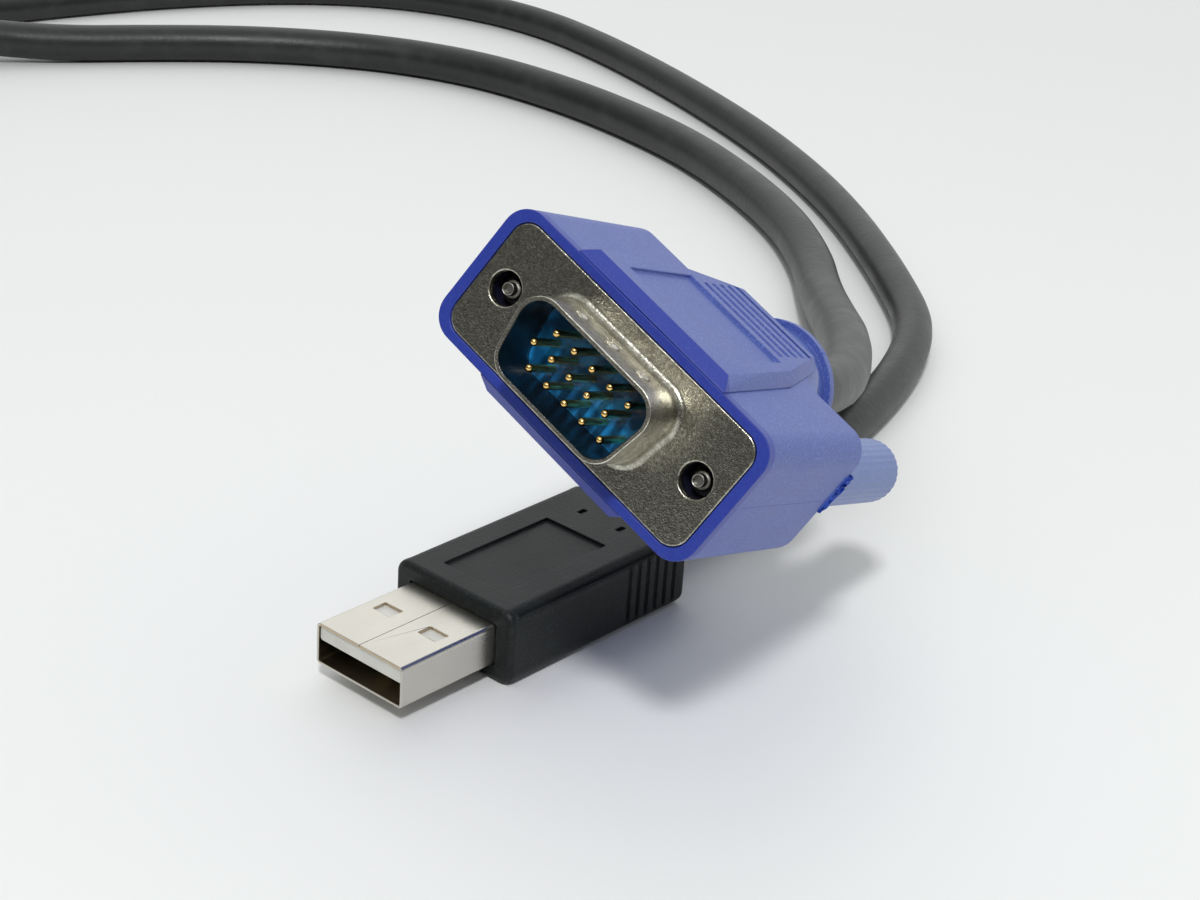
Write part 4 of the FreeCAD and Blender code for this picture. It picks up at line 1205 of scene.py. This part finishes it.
    def build_screw(self, body: str, place: Matrix) -> None:
        """Turn a screw with a dimpled dog point and wind its thread.

        Args:
            body: The thumbscrew's body.
            place: The screw's axis, from the face of the flange.
        """
        tip, shank, core = -self.screw_tip, self.screw_shank, self.screw_radius * self.core_share
        root = tip - self.thread_length
        profile = [(shank, -self.ear_depth - self.screw_tail), (shank, root), (core, root),
                   (core, tip - self.taper)]
        profile += [(self.dog_radius + out, tip - down) for out, down in self.dog_point]
        profile.append((self.dimple_radius, profile[-1][1]))
        rod = Bench.turned("rod", profile, self.screw_sides)
        ridge = Bench.thread("ridge", self.screw_radius - self.thread_pitch * Bench.RIDGE_SHARE,
                             self.thread_pitch, root + self.thread_lead, self.thread_turns)
        made = Bench.join(body + "_rod", [rod, ridge])
        Bench.settle(made, place)
        Bench.finish(made, body, "screw_steel", self.steel.material(), body + "_screw",
                     smooth=25.0)

    def build_knob(self, body: str, place: Matrix) -> None:
        """Draw a knob with fine flutes, a narrow throat and a domed end.

        Args:
            body: The thumbscrew's body.
            place: The screw's axis, from the face of the flange.
        """
        front, end, radius = -self.ear_depth - self.knob_gap, -self.knob_end, self.knob_radius
        dome = self.knob_dome
        steps = [math.radians(angle) for angle in self.knob_dome_steps]
        profile = [(self.screw_shank, front)]
        profile += [(radius - inwards, front - back) for inwards, back in self.knob_front]
        profile.append((radius, end + dome))
        profile += [(radius - dome + dome * math.cos(angle), end + dome - dome * math.sin(angle))
                    for angle in steps]
        made = Bench.turned(body + "_grip", profile, self.knob_flutes * self.sides_per_flute)
        pitch = 2 * math.pi / self.knob_flutes
        low, high = end + dome * 0.6, front - self.flute_start

        def in_flute(point: Vector) -> bool:
            """Tell whether a vertex lies at the bottom of a flute."""
            share = (math.atan2(point.y, point.x) % pitch) / pitch
            return low < point.z < high and 0.25 < share < 0.75

        with Bench.editing(made):
            Bench.choose(made, in_flute)
            bpy.ops.transform.resize(value=(self.flute_share, self.flute_share, 1.0),
                                     center_override=(0, 0, 0))
        Bench.settle(made, place)
        Bench.finish(made, body, "knob_plastic", self.knob.material(), body + "_knob",
                     smooth=50.0)


# --------------------------------------------------------------------- USB plug
@dataclass
class UsbPlug:
    """The flat plug: folded shell and black overmould."""

    shell: PlatedMetal
    moulding: MouldedPlastic

    def build(self) -> None:
        """Make every piece of the plug."""
        shell = Bench.copy_of("usb_shell", "usb_sleeve")
        Bench.break_edges(shell, Edges.CRISP, angle=50.0, segments=1)
        Bench.finish(shell, MAIN_BODY, "usb_steel", self.shell.material(), "usb_shell")
        grip = Bench.copy_of("usb_overmould", "usb_grip")
        Bench.break_edges(grip, Edges.BROKEN)
        Bench.finish(grip, MAIN_BODY, "usb_moulding", self.moulding.material(), "usb_overmould")


# ------------------------------------------------------------------ adapter box
@dataclass
class AdapterBox:
    """The box: two case halves, their screws and the strain reliefs."""

    seat: Seat
    case: MouldedPlastic
    rubber: CordJacket
    steel: PlatedMetal
    length: float = 0.0540
    width: float = 0.0300
    wall: float = 0.0018
    exit_height: float = 0.0071
    exit_spread: float = 0.0120
    neck: float = 0.0045
    flange: float = 0.0016
    lip: float = 0.0007
    brim: float = 0.0005
    collar: float = 0.0012
    sleeve: float = 0.0007
    gland_length: float = 0.0100
    gland_round: float = 0.0003
    gland_sides: int = 40
    rings: int = 4
    ring_outline: Outline = ((0.05, 0.0), (0.1, 0.0006), (0.45, 0.0006), (0.5, 0.0), (1.0, 0.0))
    screw_head: float = 0.0020
    screw_outline: Outline = ((0.0004, 0.0), (0.0, 0.0003), (0.0, 0.0008))
    screw_shank: float = 0.0011
    screw_neck: float = 0.0014
    screw_step: float = 0.0002
    screw_point: float = 0.0008
    screw_tip: float = 0.0002
    screw_low: float = 0.0004
    screw_top: float = 0.0126
    screw_sides: int = 36
    core_share: float = 0.8
    cross: Point = (0.0022, 0.0005, 0.0012)
    thread_pitch: float = 0.0007
    thread_lead: float = 0.0022
    thread_turns: int = 11
    post_side: float = 0.0050
    post_rear: float = 0.0090
    post_front: float = 0.0220

    def build(self) -> None:
        """Make every piece of the box."""
        case = self.case.material()
        for half in ("top", "bottom"):
            made = Bench.copy_of("box_case_" + half, "case_" + half)
            Bench.break_edges(made, Edges.SOFT)
            Bench.finish(made, MAIN_BODY, "box_plastic", case, "box_case_" + half)
        self.build_screws()
        rubber = self.rubber.material()
        for name, side, cord in (("video_gland", -1.0, VIDEO_CORD_DIAMETER / 2),
                                 ("usb_gland", 1.0, USB_CORD_DIAMETER / 2)):
            self.build_gland(name, side * self.exit_spread / 2, cord, rubber)

    def build_gland(self, node: str, across: float, cord: float,
                    rubber: bpy.types.Material) -> None:
        """Turn a strain relief with rings cut round it.

        Args:
            node: The CAD node that it stands for.
            across: How far it lies from the middle of the box.
            cord: The cord's radius.
            rubber: Its finish.
        """
        inside = self.length - self.wall - self.flange
        inner, outer = self.length - self.wall, self.length
        root, tip, end = self.neck + self.brim, cord + self.sleeve, self.length + self.gland_length
        profile = [(cord, inside), (self.neck + self.lip, inside), (self.neck + self.lip, inner),
                   (self.neck, inner), (self.neck, outer), (root, outer),
                   (root, outer + self.collar)]
        pitch = (end - outer - 2 * self.collar) / self.rings
        for ring in range(self.rings):
            low = outer + self.collar + ring * pitch
            for share, sunk in self.ring_outline:
                at = low + share * pitch
                wide = root + (tip - root) * (at - outer) / (end - outer)
                profile.append((wide - sunk, at))
        profile += [(tip, end - self.gland_round), (tip - self.gland_round, end), (cord, end)]
        made = Bench.turned(node + "_boot", profile, self.gland_sides)
        lying = Seat(self.seat.origin, (0.0, 1.0, 0.0), (1.0, 0.0, 0.0))
        Bench.settle(made, lying.matrix((across, self.exit_height, 0.0)))
        Bench.finish(made, MAIN_BODY, "cord_jacket", rubber, node)

    def build_screws(self) -> None:
        """Turn one case screw, cut its cross recess and copy it to the four posts."""
        low, top, core = self.screw_low, self.screw_top, self.screw_shank * self.core_share
        neck = low + self.screw_neck
        profile = [(self.screw_head - inwards, low + up) for inwards, up in self.screw_outline]
        profile += [(self.screw_shank, neck), (core, neck + self.screw_step),
                    (core, top - self.screw_point), (self.screw_tip, top)]
        screw = Bench.turned("case_screw", profile, self.screw_sides)
        long, narrow, deep = self.cross
        Bench.cut(screw, Bench.box("slot_x", (long, narrow, deep), (0, 0, low)),
                  Bench.box("slot_y", (narrow, long, deep), (0, 0, low)))
        ridge = Bench.thread("case_ridge", core, self.thread_pitch, low + self.thread_lead,
                             self.thread_turns)
        made = Bench.join("case_screw", [screw, ridge])
        side = self.width / 2 - self.post_side
        shifts = [(x, y, 0.0) for x in (self.length - self.post_rear, self.post_front)
                  for y in (-side, side)]
        group = Bench.join("case_screws", Bench.repeat(made, shifts))
        Bench.settle(group, self.seat.matrix())
        Bench.finish(group, MAIN_BODY, "screw_steel", self.steel.material(), "box_case_screws")


# ------------------------------------------------------------------------- cords
@dataclass
class Cord:
    """One round cord, from a plug to the adapter box."""

    name: str
    node: str
    route: Sequence[Point]
    diameter: float
    length: float
    jacket: CordJacket
    steps_along: int = 24
    steps_round: int = 8

    def build(self) -> bpy.types.Object:
        """Lay the cord as one smooth spline over its route's points.

        Returns:
            The cord's curve object.
        """
        data = bpy.data.curves.new(self.name, "CURVE")
        data.dimensions = "3D"
        data.bevel_depth = self.diameter / 2
        data.bevel_resolution = self.steps_round
        data.resolution_u = self.steps_along
        data.use_fill_caps = True
        spline = data.splines.new("NURBS")
        spline.points.add(len(self.route) - 1)
        for point, place in zip(spline.points, self.route):
            point.co = (*place, 1.0)
        spline.order_u = 3
        spline.use_endpoint_u = True
        cord = bpy.data.objects.new(self.name, data)
        bpy.context.scene.collection.objects.link(cord)
        data.materials.append(self.jacket.material())
        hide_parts(self.node)
        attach(cord, MAIN_BODY)
        LOG.info("cord %s laid", self.name)
        return cord


VIDEO_ROUTE: tuple[Point, ...] = (
    (0.013504, -0.104636, 0.023640),
    (0.02353, -0.10223, 0.01981), (0.0352, -0.0978, 0.0154), (0.0462, -0.0914, 0.0124),
    (0.0575, -0.0832, 0.0100), (0.0705, -0.0716, 0.0062), (0.0822, -0.0610, 0.0033),
    (0.0910, -0.0530, 0.0031), (0.1004, -0.0416, 0.0031), (0.1093, -0.0258, 0.0031),
    (0.1164, -0.0086, 0.0031), (0.1202, 0.0102, 0.0031), (0.1213, 0.0264, 0.0031),
    (0.1199, 0.0424, 0.0031), (0.1146, 0.0566, 0.0031), (0.1064, 0.0684, 0.0031),
    (0.0966, 0.0784, 0.0031), (0.0846, 0.0874, 0.0031), (0.0724, 0.0954, 0.0031),
    (0.0616, 0.1029, 0.0042), (0.0526, 0.1071, 0.0060), (0.0424, 0.10945, 0.0071),
    (0.0330, 0.10945, 0.0071),
)
USB_ROUTE: tuple[Point, ...] = (
    (0.01245, -0.0936, 0.0041),
    (0.0204, -0.0936, 0.0041), (0.0320, -0.0928, 0.0026), (0.0430, -0.0912, 0.0026),
    (0.0545, -0.0886, 0.0026), (0.0665, -0.0848, 0.0026), (0.0770, -0.0802, 0.0026),
    (0.0854, -0.0746, 0.0026), (0.0926, -0.0670, 0.0026), (0.1010, -0.0574, 0.0026),
    (0.1120, -0.0436, 0.0026), (0.1218, -0.0286, 0.0026), (0.1312, -0.0110, 0.0026),
    (0.1394, 0.0088, 0.0026), (0.1452, 0.0256, 0.0026), (0.1494, 0.0408, 0.0026),
    (0.1520, 0.0554, 0.0026), (0.1510, 0.0698, 0.0026), (0.1460, 0.0838, 0.0026),
    (0.1366, 0.0960, 0.0026), (0.1232, 0.1056, 0.0026), (0.1070, 0.1130, 0.0026),
    (0.0906, 0.1180, 0.0026), (0.0760, 0.1212, 0.0026), (0.0628, 0.1229, 0.0039),
    (0.0524, 0.1226, 0.0058), (0.0424, 0.12145, 0.0071), (0.0330, 0.12145, 0.0071),
)


@dataclass
class Dresser:
    """Gives the CAD nodes their finishes by name."""

    finishes: dict[str, Finish]

    def dress(self) -> None:
        """Assign a finish to every CAD node whose name starts with one of the keys."""
        made: dict[str, bpy.types.Material] = {}
        for name, piece in sorted(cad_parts.items()):
            key = next((start for start in self.finishes if name.startswith(start)), None)
            if key is None:
                continue
            finish = self.finishes[key]
            if finish.name not in made:
                made[finish.name] = finish.material()
            piece.data.materials.clear()
            piece.data.materials.append(made[finish.name])
            LOG.info("%s dressed in %s", name, finish.name)


VIDEO_SEAT = Seat((-0.02388, -0.11359, 0.03792), (0.0456, -0.8957, -0.4423),
                  (-0.9116, -0.2184, 0.3483))
BOX_SEAT = Seat((-0.0310, 0.11545, 0.0))

# The plug's moulding has painted shade on its front rim and in its screw bores.
BLUE = PlugMoulding("video_moulding", (0.050, 0.085, 0.36), (0.12, 0.18, 0.52),
                    roughness=0.42, seat=VIDEO_SEAT)
TORN_BLUE = MouldedPlastic("torn_moulding", (0.012, 0.06, 0.50), (0.02, 0.12, 0.70),
                           roughness=0.5)
KNOB_BLUE = MouldedPlastic("knob_plastic", (0.10, 0.16, 0.42), (0.17, 0.24, 0.52),
                           roughness=0.36)
BLACK = MouldedPlastic("usb_moulding", (0.007, 0.009, 0.009), (0.018, 0.022, 0.022),
                       roughness=0.5, grain=0.0003, grain_depth=0.00004, specular=0.3)
CASE_BLACK = MouldedPlastic("box_plastic", (0.018, 0.018, 0.02), (0.04, 0.04, 0.042),
                            roughness=0.5, grain=0.0004, grain_depth=0.00004)
FLANGE = DrawnSheet("video_flange", (0.76, 0.735, 0.64), (0.36, 0.34, 0.27),
                    roughness=0.24, stain_size=0.0010, stain_share=0.9, pit=0.00016,
                    pit_depth=0.00003, spark=0.7, seat=VIDEO_SEAT)
USB_STEEL = FoldedSheet("usb_steel", (0.64, 0.615, 0.555), (0.55, 0.525, 0.47),
                        roughness=0.30, stain_size=0.006, stain_share=0.35)
SCREW_STEEL = PlatedMetal("screw_steel", (0.36, 0.35, 0.32), (0.16, 0.155, 0.14),
                          roughness=0.42)
GOLD = PlatedMetal("contact_gold", (0.95, 0.66, 0.25), (0.80, 0.46, 0.12), roughness=0.16)
# The insulator's second colour is painted light, and the insulator also gives a faint painted glow.
INSULATOR = ClearPlastic("insulator_blue", (0.004, 0.04, 0.11), (0.018, 0.30, 0.74),
                         seat=VIDEO_SEAT)
WHITE = PlainPlastic("usb_white", (0.74, 0.73, 0.68), (0.68, 0.67, 0.61), roughness=0.4)
CHIP = PlainPlastic("chip_black", (0.012, 0.012, 0.012), (0.02, 0.02, 0.02), roughness=0.5)
JACK = PlainPlastic("jack_plastic", (0.015, 0.015, 0.016), (0.03, 0.03, 0.03), roughness=0.4)
JACKET = CordJacket("cord_jacket", (0.016, 0.017, 0.017), (0.045, 0.047, 0.046))
BOARD = CircuitBoard("board_green", resist=(0.01, 0.09, 0.03), track=(0.03, 0.2, 0.07))

CARRIED_OVER: dict[str, Finish] = {
    "video_rear_shell": FLANGE, "video_insulator": INSULATOR, "usb_tongue": WHITE,
    "usb_contact": GOLD, "box_board": BOARD, "box_main_chip": CHIP, "box_video_chip": CHIP,
    "jack_body": JACK, "jack_shield": USB_STEEL, "jack_contact": GOLD,
}


def main() -> None:
    """Build the studio, the sub-assemblies, the cords and the finishes in order."""
    logging.basicConfig(level=logging.INFO)
    Studio().build()
    VideoPlug(VIDEO_SEAT, BLUE, TORN_BLUE, KNOB_BLUE, FLANGE, SCREW_STEEL, GOLD).build()
    UsbPlug(USB_STEEL, BLACK).build()
    AdapterBox(BOX_SEAT, CASE_BLACK, JACKET, SCREW_STEEL).build()
    Cord("video_cord", "video_cord_tube", VIDEO_ROUTE, VIDEO_CORD_DIAMETER,
         length=0.316, jacket=JACKET).build()
    Cord("usb_cord", "usb_cord_tube", USB_ROUTE, USB_CORD_DIAMETER,
         length=0.379, jacket=JACKET).build()
    Dresser(CARRIED_OVER).dress()


if __name__ == "__main__":
    main()
